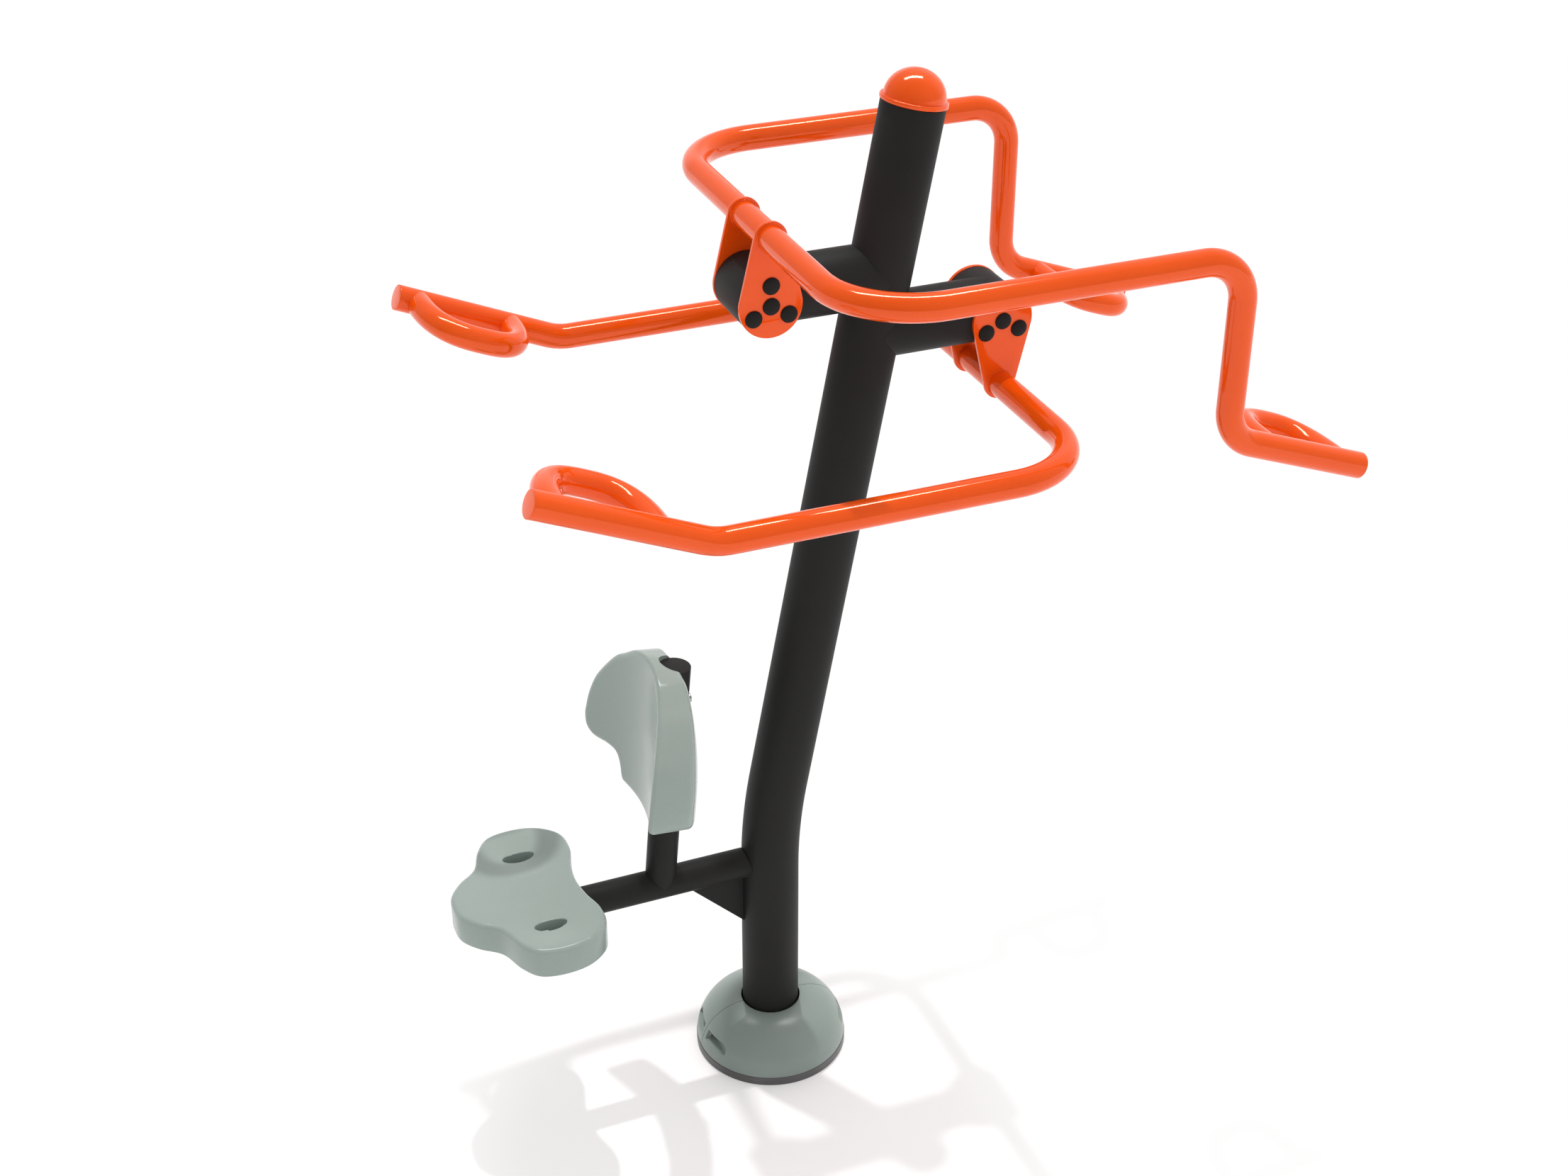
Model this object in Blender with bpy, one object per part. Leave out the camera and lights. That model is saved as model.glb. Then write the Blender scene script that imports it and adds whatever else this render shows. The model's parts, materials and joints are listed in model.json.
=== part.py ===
# Outdoor lat pulldown machine: one post, two hub arms, a seat and a backrest
import bpy
import bmesh
import math
from mathutils import Matrix, Vector

for item in list(bpy.data.objects):
    bpy.data.objects.remove(item, do_unlink=True)

# Clearances
touch_gap = 0.0003
overrun = 0.02

# Post: upright below the bend, leaning toward +X above it
post_radius = 0.05715
post_wall = 0.0056
post_lean = math.radians(10.566)
post_bend_height = 0.5515
post_bend_radius = 1.1
post_upper_length = 1.4460
post_sides = 24
post_bend_steps = 5

# Foot plate and its studs
flange_radius = 0.154
flange_thickness = 0.0187
stud_circle_radius = 0.108
stud_radius = 0.008
stud_height = 0.048
stud_turn = math.radians(45)
stud_count = 4
stud_sides = 10
nut_radius = 0.0145
nut_height = 0.013
washer_radius = 0.017
washer_thickness = 0.003
flange_sides = 36

# Two-part dome over the foot plate
cover_arc_radius = 0.093
cover_inset = 0.001
cover_wall = 0.004
cover_hole_gap = 0.0034
cover_seam = 0.0008
cover_sides = 36
cover_arc_steps = 6
pocket_depth = 0.0274
pocket_low = 0.045
pocket_high = 0.066
pocket_near_y = 0.009
pocket_far_y = 0.072
pocket_boss_wall = 0.005
screw_radius = 0.003
screw_head_radius = 0.0058
screw_head_height = 0.004
screw_inset = 0.008
screw_sides = 10

# Cap on the leaning top
cap_rim_radius = 0.0598
cap_rim_height = 0.0085
cap_dome_radius = 0.0543
cap_dome_height = 0.0495
cap_spigot_depth = 0.022
cap_spigot_fit = 0.0004
cap_dome_steps = 5
cap_last_share = 0.92

# Beams and hub pipes
left_beam_height = 1.6732
right_beam_height = 1.5755
left_hub_x = -0.019
right_hub_x = 0.4225
housing_radius = 0.0568
housing_wall = 0.0056
housing_half_length = 0.0577
hub_sides = 24

# Ear plates
ear_thickness = 0.007
ear_big_radius = 0.0576
ear_small_radius = 0.0297
ear_rise = 0.1206
ear_big_steps = 14
ear_small_steps = 8

# Spindle and bush inside each hub
spindle_disc_gap = 0.0027
spindle_disc_thickness = 0.018
spindle_shaft_radius = 0.022
bush_fit = 0.0004

# Bolts with domed black caps on the ears
bolt_circle_radius = 0.037
bolt_outer_count = 3
bolt_shank_radius = 0.005
bolt_depth = 0.014
bolt_cap_radius = 0.0155
bolt_cap_height = 0.006
bolt_cap_steps = 2
bolt_last_share = 0.77
bolt_sides = 10

# Arm tubes
arm_radius = 0.0238
arm_wall = 0.0032
arm_half_width = 0.4257
arm_corner_radius = 0.15
arm_sides = 14
arm_corner_steps = 5
upper_reach = 0.690
upper_drop = 0.330
upper_top_radius = 0.080
upper_low_radius = 0.078
upper_grip_length = 0.2985
upper_grip_slope = math.radians(20.43)
lower_reach = 0.678
lower_elbow_radius = 0.120
lower_grip_length = 0.3202
lower_grip_slope = math.radians(23.35)
arm_bend_steps = 4
plug_thickness = 0.003
plug_depth = 0.015
plug_fit = 0.0004

# Grip loops
loop_radius = 0.0232
loop_wall = 0.0030
upper_loop_start = 0.0485
upper_loop_end = 0.2090
lower_loop_start = 0.0385
lower_loop_end = 0.2195
loop_depth = 0.1310
loop_power = 2.7
loop_steps = 16
loop_sides = 10

# Seat bar, its gusset and the backrest's post
bar_radius = 0.0302
bar_wall = 0.0036
bar_height = 0.4665
bar_end_inset = 0.044
bar_sides = 20
gusset_thickness = 0.006
gusset_length = 0.1137
gusset_height = 0.1130
back_post_x = -0.2309
back_post_lean = math.radians(5.07)
back_post_length = 0.4948
back_post_wall = 0.0036
back_post_top_wall = 0.004

# Seat moulding
seat_rear_x = -0.380
seat_length = 0.264
seat_half_width = 0.198
seat_rise = 0.0035
seat_height = 0.061
seat_top_edge = 0.010
seat_bottom_edge = 0.004
seat_station_shares = (0, 0.13, 0.27, 0.42, 0.57, 0.70, 0.80, 0.89, 0.96, 1.0)
seat_rear_shares = (0.076, 0.064, 0.030, 0.0, 0.004, 0.025, 0.064, 0.129, 0.216, 0.371)
seat_front_shares = (1.0, 0.989, 0.913, 0.814, 0.744, 0.691, 0.652, 0.610, 0.549, 0.436)
dish_inset = 0.103
dish_y = 0.1105
dish_radius = 0.068
dish_depth = 0.010
dish_reach_share = 1.15
dish_sides = 20
slot_half_length = 0.0315
slot_half_width = 0.0142
slot_depth = 0.028
slot_sides = 16
strap_half_width = 0.020
strap_overhang = 0.0295
strap_thickness = 0.005
strap_arc_steps = 8
seat_screw_radius = 0.004
seat_screw_depth = 0.016
seat_screw_head_radius = 0.008
seat_screw_head_height = 0.005

# Backrest moulding, in the leaning frame of its post
rest_low = 0.195
rest_height = 0.317
rest_half_width = 0.197
rest_rear = 0.034
rest_front = 0.053
rest_sweep = 0.057
rest_front_edge = 0.013
rest_rear_edge = 0.010
rest_recess = 0.0265
rest_recess_low = 0.330
rest_recess_steps = 3
rest_station_shares = (0, 0.203, 0.396, 0.457, 0.508, 0.569, 0.685, 0.812, 0.904, 0.964, 1.0)
rest_top_shares = (1.0, 0.987, 0.937, 0.910, 0.885, 0.858, 0.797, 0.691, 0.587, 0.472, 0.331)
rest_low_shares = (0.0, 0.0, 0.003, 0.032, 0.129, 0.164, 0.174, 0.170, 0.181, 0.218, 0.293)
rest_bolt_low_up = 0.250
rest_bolt_high_up = 0.420
rest_bolt_radius = 0.004
rest_bolt_depth = 0.014
rest_bolt_head_radius = 0.009
rest_bolt_head_height = 0.005
edge_steps = 3
edge_most_share = 0.45

smooth_angle = math.radians(32)


def finish(name, colour, roughness, metallic):
    material = bpy.data.materials.new(name)
    material.use_nodes = True
    shader = material.node_tree.nodes["Principled BSDF"]
    shader.inputs["Base Color"].default_value = colour
    shader.inputs["Roughness"].default_value = roughness
    shader.inputs["Metallic"].default_value = metallic
    return material


orange = (0.871, 0.102, 0.017, 1.0)
charcoal = (0.021, 0.020, 0.019, 1.0)
moulding = (0.305, 0.366, 0.328, 1.0)
foot_grey = (0.127, 0.122, 0.127, 1.0)
zinc = (0.55, 0.55, 0.53, 1.0)


def paint(name):
    return finish(name, orange, 0.30, 0.0)


def coat(name):
    return finish(name, charcoal, 0.45, 0.0)


def plastic(name):
    return finish(name, moulding, 0.62, 0.0)


def plated(name):
    return finish(name, zinc, 0.38, 1.0)


def place(name, shape, material, matrix=None, parent=None):
    bmesh.ops.recalc_face_normals(shape, faces=shape.faces)
    mesh = bpy.data.meshes.new(name)
    shape.to_mesh(mesh)
    shape.free()
    mesh.shade_smooth()
    mesh.set_sharp_from_angle(angle=smooth_angle)
    piece = bpy.data.objects.new(name, mesh)
    bpy.context.scene.collection.objects.link(piece)
    if material:
        mesh.materials.append(material)
    else:
        piece.hide_render = True
        piece.display_type = 'WIRE'
    if matrix:
        piece.matrix_world = matrix
    if parent:
        piece.parent = parent
        piece.matrix_parent_inverse = parent.matrix_world.inverted()
    return piece


def cut(piece, *cutters):
    for cutter in cutters:
        step = piece.modifiers.new(cutter.name, 'BOOLEAN')
        step.operation = 'DIFFERENCE'
        step.solver = 'EXACT'
        step.object = cutter
    return piece


def frame_matrix(centre, normal, side):
    along = normal.normalized()
    across = (side - along * side.dot(along)).normalized()
    third = along.cross(across)
    matrix = Matrix((across, third, along)).transposed().to_4x4()
    matrix.translation = centre
    return matrix


def ring(shape, matrix, radius, sides):
    verts = []
    for number in range(sides):
        turn = math.tau * number / sides
        verts.append(shape.verts.new(matrix @ Vector((radius * math.cos(turn), radius * math.sin(turn), 0))))
    return verts


def join_rings(shape, loops, closed):
    pairs = list(zip(loops, loops[1:]))
    if closed:
        pairs.append((loops[-1], loops[0]))
    else:
        shape.faces.new(loops[0])
        shape.faces.new(loops[-1])
    for first, second in pairs:
        for number in range(len(first)):
            shape.faces.new((first[number - 1], first[number], second[number], second[number - 1]))


def stations(points, side):
    """A frame at each point of a route, turned as little as possible along it."""
    frames = []
    for index, point in enumerate(points):
        before = points[max(index - 1, 0)]
        after = points[min(index + 1, len(points) - 1)]
        heading = Vector((0, 0, 0))
        if index > 0:
            heading += (point - before).normalized()
        if index < len(points) - 1:
            heading += (after - point).normalized()
        matrix = frame_matrix(point, heading, side)
        side = matrix.to_3x3() @ Vector((1, 0, 0))
        frames.append(matrix)
    return frames


def tube(name, points, radius, bore, sides, side, material, matrix=None, parent=None):
    shape = bmesh.new()
    frames = stations(points, side)
    loops = [ring(shape, frame, radius, sides) for frame in frames]
    if bore:
        loops += [ring(shape, frame, bore, sides) for frame in reversed(frames)]
    join_rings(shape, loops, bool(bore))
    return place(name, shape, material, matrix, parent)


def turned(name, profile, sides, closed, material, matrix=None, parent=None):
    """Rings of (radius, height) joined about Z."""
    shape = bmesh.new()
    loops = []
    for radius, height in profile:
        loops.append(ring(shape, Matrix.Translation((0, 0, height)), radius, sides))
    join_rings(shape, loops, closed)
    return place(name, shape, material, matrix, parent)


def route(corners, radii, steps):
    """Straight runs joined by arcs of the given radii."""
    points = [corners[0]]
    for index in range(1, len(corners) - 1):
        corner = corners[index]
        back = (corners[index - 1] - corner).normalized()
        ahead = (corners[index + 1] - corner).normalized()
        radius = radii[index - 1]
        inside = back.angle(ahead)
        middle = (back + ahead).normalized()
        centre = corner + middle * (radius / math.sin(inside / 2))
        start = corner + back * (radius / math.tan(inside / 2)) - centre
        end = corner + ahead * (radius / math.tan(inside / 2)) - centre
        across = (end - start * (end.dot(start) / start.dot(start))).normalized() * radius
        sweep = math.pi - inside
        count = steps[index - 1]
        for step in range(count + 1):
            turn = sweep * step / count
            points.append(centre + start * math.cos(turn) + across * math.sin(turn))
    points.append(corners[-1])
    return points


def prism(name, outline, depth, material, matrix=None, parent=None):
    """An outline in XY, raised along Z."""
    shape = bmesh.new()
    verts = [shape.verts.new((x, y, 0)) for x, y in outline]
    face = shape.faces.new(verts)
    grown = bmesh.ops.extrude_face_region(shape, geom=[face])
    lifted = [part for part in grown["geom"] if isinstance(part, bmesh.types.BMVert)]
    bmesh.ops.translate(shape, verts=lifted, vec=(0, 0, depth))
    return place(name, shape, material, matrix, parent)


def loft(name, sections, material, matrix=None, parent=None):
    shape = bmesh.new()
    loops = [[shape.verts.new(point) for point in section] for section in sections]
    join_rings(shape, loops, False)
    return place(name, shape, material, matrix, parent)


def box(name, low, high, material, matrix=None, parent=None):
    outline = ((low[0], low[1]), (high[0], low[1]), (high[0], high[1]), (low[0], high[1]))
    lift = Matrix.Translation((0, 0, low[2]))
    return prism(name, outline, high[2] - low[2], material, (matrix or Matrix()) @ lift, parent)


def guide(name, matrix):
    empty = bpy.data.objects.new(name, None)
    bpy.context.scene.collection.objects.link(empty)
    empty.matrix_world = matrix
    return empty


def along_y(x, y, z, outward):
    """A frame whose Z points along +Y or -Y, with its X kept on the world's X."""
    turn = Matrix.Rotation(math.radians(-90 * outward), 4, 'X')
    return Matrix.Translation((x, y, z)) @ turn


x_axis = Vector((1, 0, 0))
y_axis = Vector((0, 1, 0))
z_axis = Vector((0, 0, 1))
arm_side_way = Vector((1, 0, 4)).normalized()

# Foot plate, studs and post
flange = turned("base_flange", ((flange_radius, 0), (flange_radius, flange_thickness)),
                flange_sides, False, finish("base_flange", foot_grey, 0.5, 0.4))
for number in range(stud_count):
    turn = stud_turn + math.tau * number / stud_count
    spot = Matrix.Rotation(turn, 4, 'Z') @ Matrix.Translation((stud_circle_radius, 0, 0))
    washer_low = flange_thickness + touch_gap
    nut_low = washer_low + washer_thickness
    stud_profile = ((stud_radius, 0), (stud_radius, washer_low), (washer_radius, washer_low),
                    (washer_radius, nut_low), (nut_radius, nut_low), (nut_radius, nut_low + nut_height),
                    (stud_radius, nut_low + nut_height), (stud_radius, stud_height))
    stud_name = "anchor_stud_" + str(number + 1)
    turned(stud_name, stud_profile, stud_sides, False, plated(stud_name), spot)
    wide = stud_radius + touch_gap
    hole_profile = ((wide, -overrun), (wide, flange_thickness + overrun))
    cut(flange, turned(stud_name + "_hole", hole_profile, stud_sides, False, None, spot))

lean_way = Vector((math.sin(post_lean), 0, math.cos(post_lean)))
bend_point = Vector((0, 0, post_bend_height))
post_top = bend_point + lean_way * post_upper_length
post_corners = [Vector((0, 0, flange_thickness + touch_gap)), bend_point, post_top]
post_route = route(post_corners, [post_bend_radius], [post_bend_steps])
tube("main_post", post_route, post_radius, post_radius - post_wall, post_sides, y_axis, coat("main_post"))
post_cut_route = [post_route[0] - z_axis * overrun] + post_route[1:-1] + [post_top + lean_way * overrun]
post_cutter = tube("post_cutter", post_cut_route, post_radius + touch_gap, 0, post_sides, y_axis, None)

spigot_radius = post_radius - post_wall - cap_spigot_fit
cap_profile = [(spigot_radius, -cap_spigot_depth), (spigot_radius, touch_gap), (cap_rim_radius, touch_gap),
               (cap_rim_radius, cap_rim_height), (cap_dome_radius, cap_rim_height)]
for step in range(1, cap_dome_steps):
    turn = math.pi / 2 * step / cap_dome_steps
    cap_profile.append((cap_dome_radius * math.cos(turn), cap_rim_height + cap_dome_height * math.sin(turn)))
cap_flat_radius = cap_dome_radius * math.cos(math.pi / 2 * cap_last_share)
cap_profile.append((cap_flat_radius, cap_rim_height + cap_dome_height))
cap_frame = frame_matrix(post_top, lean_way, y_axis)
turned("post_cap", cap_profile, post_sides, False, paint("post_cap"), cap_frame)

# Dome in two halves, front toward -Y
cover_low = flange_thickness + touch_gap
cover_rim_radius = flange_radius - cover_inset
cover_hole_radius = post_radius + cover_hole_gap
arc_centre = cover_rim_radius - cover_arc_radius


def dome_profile(inset):
    points = []
    for step in range(cover_arc_steps + 1):
        turn = math.pi / 2 * step / cover_arc_steps
        points.append((arc_centre + (cover_arc_radius - inset) * math.cos(turn),
                       cover_low + (cover_arc_radius - inset) * math.sin(turn)))
    return points


dome_top = cover_low + cover_arc_radius
room_profile = [(cover_rim_radius - cover_wall, cover_low - overrun)] + dome_profile(cover_wall)
pocket_floor_x = cover_rim_radius - pocket_depth
screw_x = pocket_floor_x + screw_inset
screw_z = (pocket_low + pocket_high) / 2
for half, outward in (("front", -1), ("rear", 1)):
    cover_name = "base_cover_" + half
    cover = turned(cover_name, dome_profile(0), cover_sides, False, plastic(cover_name))
    room = turned(cover_name + "_room", room_profile, cover_sides, False, None)
    hole_profile = ((cover_hole_radius, -overrun), (cover_hole_radius, dome_top + overrun))
    hole = turned(cover_name + "_hole", hole_profile, post_sides, False, None)
    seam = cover_seam / 2
    reach = cover_rim_radius + overrun
    other = (-reach, -reach, -overrun) if outward > 0 else (-reach, -seam, -overrun)
    other_end = (reach, seam, dome_top + overrun) if outward > 0 else (reach, reach, dome_top + overrun)
    away = box(cover_name + "_away", other, other_end, None)
    for side in (-1, 1):
        ends = sorted((side * (pocket_floor_x - pocket_boss_wall), side * reach))
        deep = sorted((outward * -overrun, outward * (pocket_far_y + pocket_boss_wall)))
        boss = box(cover_name + "_boss" + str(side), (ends[0], deep[0], pocket_low - pocket_boss_wall),
                   (ends[1], deep[1], pocket_high + pocket_boss_wall), None)
        cut(room, boss)
    cut(cover, room, hole, away)
    for side in (-1, 1):
        ends = sorted((side * pocket_floor_x, side * reach))
        deep = sorted((outward * pocket_near_y, outward * pocket_far_y))
        pocket = box(cover_name + "_pocket" + str(side), (ends[0], deep[0], pocket_low),
                     (ends[1], deep[1], pocket_high), None)
        bore_profile = ((screw_radius + touch_gap, -pocket_near_y - overrun),
                        (screw_radius + touch_gap, pocket_near_y + overrun / 4))
        bore = turned(cover_name + "_bore" + str(side), bore_profile, screw_sides, False, None,
                      along_y(side * screw_x, 0, screw_z, 1))
        cut(cover, pocket, bore)
for side_name, side in (("left", -1), ("right", 1)):
    near = -pocket_near_y - touch_gap
    far = pocket_near_y + touch_gap
    screw_profile = ((screw_head_radius, near - screw_head_height), (screw_head_radius, near),
                     (screw_radius, near), (screw_radius, far), (screw_head_radius, far),
                     (screw_head_radius, far + screw_head_height))
    screw_name = "cover_screw_" + side_name
    turned(screw_name, screw_profile, screw_sides, False, plated(screw_name),
           along_y(side * screw_x, 0, screw_z, 1))

# Hubs and arms
spindle_half = housing_half_length
spindle_disc_radius = housing_radius - housing_wall - spindle_disc_gap
ear_inner_y = housing_half_length + touch_gap
disc_inner = spindle_half - spindle_disc_thickness
bush_outer = housing_radius - housing_wall - bush_fit
bush_bore = spindle_shaft_radius + bush_fit
bush_half = disc_inner - touch_gap
ear_outer_y = ear_inner_y + ear_thickness
ear_slant = math.acos((ear_big_radius - ear_small_radius) / ear_rise)


def ear_outline(up):
    """Large round about the hub and small round about the crossbar, with straight flanks."""
    points = []
    for step in range(ear_big_steps + 1):
        turn = ear_slant + (math.tau - 2 * ear_slant) * step / ear_big_steps
        points.append((ear_big_radius * math.sin(turn), up * ear_big_radius * math.cos(turn)))
    for step in range(ear_small_steps + 1):
        turn = -ear_slant + 2 * ear_slant * step / ear_small_steps
        above = ear_rise + ear_small_radius * math.cos(turn)
        points.append((ear_small_radius * math.sin(turn), up * above))
    return points


def loop_points(end, inward, side, loop_ends):
    """Centre line of a grip loop: a flattened half round beside the grip."""
    points = []
    middle = (loop_ends[0] + loop_ends[1]) / 2
    half = (loop_ends[1] - loop_ends[0]) / 2
    for step in range(loop_steps + 1):
        turn = math.pi * step / loop_steps
        way = math.cos(turn)
        along = middle - math.copysign(abs(way) ** (2 / loop_power), way) * half
        deep = loop_depth * abs(math.sin(turn)) ** (2 / loop_power)
        points.append(end + inward * along - y_axis * (side * deep))
    return points


def build_arm(arm, hub_x, hub_z, rise, half_route, radii, steps, grip_way, loop_ends):
    """One hub with its housing, bush and the whole moving arm."""
    hub = Vector((hub_x, 0, hub_z))
    pivot = guide(arm + "_pivot", Matrix.Translation(hub))
    bar_z = hub_z + rise * ear_rise
    near_side = [Vector((x, -arm_half_width, z)) for x, z in half_route]
    far_side = [Vector((x, arm_half_width, z)) for x, z in half_route]
    corners = near_side + [Vector((hub_x, -arm_half_width, bar_z)), Vector((hub_x, arm_half_width, bar_z))]
    corners += list(reversed(far_side))
    arm_route = route(corners, radii, steps)
    tube_name = arm + "_arm_tube"
    tube(tube_name, arm_route, arm_radius, arm_radius - arm_wall, arm_sides, arm_side_way,
         paint(tube_name), None, pivot)
    arm_cutter = tube(arm + "_arm_cutter", arm_route, arm_radius + touch_gap, 0, arm_sides,
                      arm_side_way, None, None, pivot)
    for side_name, side, end in (("near", -1, near_side[0]), ("far", 1, far_side[0])):
        plug_name = arm + "_plug_" + side_name
        inner = arm_radius - arm_wall - plug_fit
        plug_profile = ((inner, -plug_depth), (inner, touch_gap), (arm_radius, touch_gap),
                        (arm_radius, touch_gap + plug_thickness))
        turned(plug_name, plug_profile, arm_sides, False, paint(plug_name),
               frame_matrix(end, grip_way, z_axis), pivot)
        loop_name = arm + "_loop_" + side_name
        loop_route = loop_points(end, -grip_way, side, loop_ends)
        loop = tube(loop_name, loop_route, loop_radius, loop_radius - loop_wall, loop_sides, z_axis,
                    paint(loop_name), None, pivot)
        cut(loop, arm_cutter)
    spindle_name = arm + "_spindle"
    spindle_profile = ((spindle_disc_radius, -spindle_half), (spindle_disc_radius, -disc_inner),
                       (spindle_shaft_radius, -disc_inner), (spindle_shaft_radius, disc_inner),
                       (spindle_disc_radius, disc_inner), (spindle_disc_radius, spindle_half))
    spindle = turned(spindle_name, spindle_profile, hub_sides, False, plated(spindle_name),
                     along_y(hub_x, 0, hub_z, 1), pivot)
    spots = [(0, 0)]
    for number in range(bolt_outer_count):
        turn = math.pi / 2 + math.tau * number / bolt_outer_count
        spots.append((bolt_circle_radius * math.cos(turn), bolt_circle_radius * math.sin(turn)))
    for side_name, side in (("near", -1), ("far", 1)):
        ear_name = arm + "_ear_" + side_name
        high_y = max(side * ear_inner_y, side * ear_outer_y)
        ear_matrix = Matrix.Translation((hub_x, high_y, hub_z)) @ Matrix.Rotation(math.pi / 2, 4, 'X')
        ear = prism(ear_name, ear_outline(rise), ear_thickness, paint(ear_name), ear_matrix, pivot)
        cut(ear, arm_cutter)
        for number, spot in enumerate(spots):
            bolt_name = arm + "_bolt_" + side_name + "_" + str(number + 1)
            seat_y = side * (ear_outer_y + touch_gap)
            frame = along_y(hub_x + spot[0], seat_y, hub_z + spot[1], side)
            shank = -ear_thickness - touch_gap - bolt_depth
            profile = [(bolt_shank_radius, shank), (bolt_shank_radius, 0), (bolt_cap_radius, 0)]
            for step in range(1, bolt_cap_steps + 1):
                turn = math.pi / 2 * bolt_last_share * step / bolt_cap_steps
                profile.append((bolt_cap_radius * math.cos(turn), bolt_cap_height * math.sin(turn)))
            turned(bolt_name, profile, bolt_sides, False, coat(bolt_name), frame, pivot)
            wide = bolt_shank_radius + touch_gap
            hole_profile = ((wide, shank - touch_gap), (wide, overrun))
            hole = turned(bolt_name + "_hole", hole_profile, bolt_sides, False, None, frame, pivot)
            cut(ear, hole)
            cut(spindle, hole)


def build_hub(side_name, hub_x, hub_z):
    hub_frame = along_y(hub_x, 0, hub_z, 1)
    inner = housing_radius - housing_wall
    housing_profile = ((housing_radius, -housing_half_length), (housing_radius, housing_half_length),
                       (inner, housing_half_length), (inner, -housing_half_length))
    name = side_name + "_housing"
    turned(name, housing_profile, hub_sides, True, coat(name), hub_frame)
    bush_profile = ((bush_outer, -bush_half), (bush_outer, bush_half), (bush_bore, bush_half),
                    (bush_bore, -bush_half))
    name = side_name + "_bush"
    turned(name, bush_profile, hub_sides, True, finish(name, charcoal, 0.8, 0.0), hub_frame)
    wide = housing_radius + touch_gap
    cutter = turned(side_name + "_hub_cutter", ((wide, -housing_half_length - overrun),
                                                (wide, housing_half_length + overrun)),
                    hub_sides, False, None, hub_frame)
    post_x = (hub_z - post_bend_height) * math.tan(post_lean)
    ends = [Vector((hub_x, 0, hub_z)), Vector((post_x, 0, hub_z))]
    name = side_name + "_beam"
    beam = tube(name, ends, post_radius, post_radius - post_wall, post_sides, y_axis, coat(name))
    cut(beam, cutter, post_cutter)


build_hub("left", left_hub_x, left_beam_height)
build_hub("right", right_hub_x, right_beam_height)

upper_z = left_beam_height + ear_rise
upper_x = left_hub_x + upper_reach
upper_way = Vector((math.cos(upper_grip_slope), 0, -math.sin(upper_grip_slope)))
upper_grip = upper_way * upper_grip_length
upper_side = [(upper_x + upper_grip.x, upper_z - upper_drop + upper_grip.z), (upper_x, upper_z - upper_drop),
              (upper_x, upper_z)]
upper_radii = [upper_low_radius, upper_top_radius, arm_corner_radius]
upper_steps = [arm_bend_steps, arm_bend_steps, arm_corner_steps]
build_arm("upper", left_hub_x, left_beam_height, 1, upper_side, upper_radii + upper_radii[::-1],
          upper_steps + upper_steps[::-1], upper_way, (upper_loop_start, upper_loop_end))

lower_z = right_beam_height - ear_rise
lower_x = right_hub_x - lower_reach
lower_way = Vector((-math.cos(lower_grip_slope), 0, math.sin(lower_grip_slope)))
lower_grip = lower_way * lower_grip_length
lower_side = [(lower_x + lower_grip.x, lower_z + lower_grip.z), (lower_x, lower_z)]
lower_radii = [lower_elbow_radius, arm_corner_radius]
lower_steps = [arm_bend_steps, arm_corner_steps]
build_arm("lower", right_hub_x, right_beam_height, -1, lower_side, lower_radii + lower_radii[::-1],
          lower_steps + lower_steps[::-1], lower_way, (lower_loop_start, lower_loop_end))

# Seat bar and its gusset
seat_bottom = bar_height + seat_rise
seat_top = seat_bottom + seat_height
dish_x = seat_rear_x - dish_inset
bar_end = seat_rear_x - seat_length + bar_end_inset
bar_points = [Vector((bar_end, 0, bar_height)), Vector((0, 0, bar_height))]
bar_bore = bar_radius - bar_wall
bar = tube("seat_bar", bar_points, bar_radius, bar_bore, bar_sides, z_axis, coat("seat_bar"))
cut(bar, post_cutter)
bar_reach = [bar_points[0] - x_axis * touch_gap, bar_points[1]]
bar_cutter = tube("bar_cutter", bar_reach, bar_radius + touch_gap, 0, bar_sides, z_axis, None)
gusset_x = -post_radius - touch_gap
gusset_z = bar_height - bar_radius - touch_gap
gusset_outline = ((gusset_x, gusset_z), (gusset_x - gusset_length, gusset_z),
                  (gusset_x, gusset_z - gusset_height))
gusset_frame = Matrix.Translation((0, gusset_thickness / 2, 0)) @ Matrix.Rotation(math.pi / 2, 4, 'X')
prism("seat_gusset", gusset_outline, gusset_thickness, coat("seat_gusset"), gusset_frame)

# Backrest's post, with a closed top and an open foot
rest_frame = Matrix.Translation((back_post_x, 0, bar_height)) @ Matrix.Rotation(back_post_lean, 4, 'Y')
back_post = turned("back_post", ((bar_radius, 0), (bar_radius, back_post_length)), bar_sides, False,
                   coat("back_post"), rest_frame)
back_bore = turned("back_bore", ((bar_radius - back_post_wall, -overrun),
                                 (bar_radius - back_post_wall, back_post_length - back_post_top_wall)),
                   bar_sides, False, None, rest_frame)
cut(back_post, back_bore, bar_cutter)
wide = bar_radius + touch_gap
rest_cutter = turned("rest_cutter", ((wide, 0), (wide, back_post_length + overrun)), bar_sides, False, None,
                     rest_frame)


def corner(centre_a, centre_b, radius, start):
    """Points of a quarter round, as pairs in the section's plane."""
    points = []
    for step in range(edge_steps + 1):
        turn = start + math.pi / 2 * step / edge_steps
        points.append((centre_a + radius * math.cos(turn), centre_b + radius * math.sin(turn)))
    return points


def section(low_a, high_a, low_b, high_b, radii):
    """A rounded rectangle from the low-low corner round to the low-high one."""
    most = min(high_a - low_a, high_b - low_b) * edge_most_share
    one, two, three, four = [min(radius, most) for radius in radii]
    points = corner(low_a + one, low_b + one, one, math.pi)
    points += corner(high_a - two, low_b + two, two, math.pi * 1.5)
    points += corner(high_a - three, high_b - three, three, 0)
    points += corner(low_a + four, high_b - four, four, math.pi / 2)
    return points


def mirrored(shares):
    return [-share for share in shares[:0:-1]] + list(shares)


def both(shares):
    return list(shares[:0:-1]) + list(shares)


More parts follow.
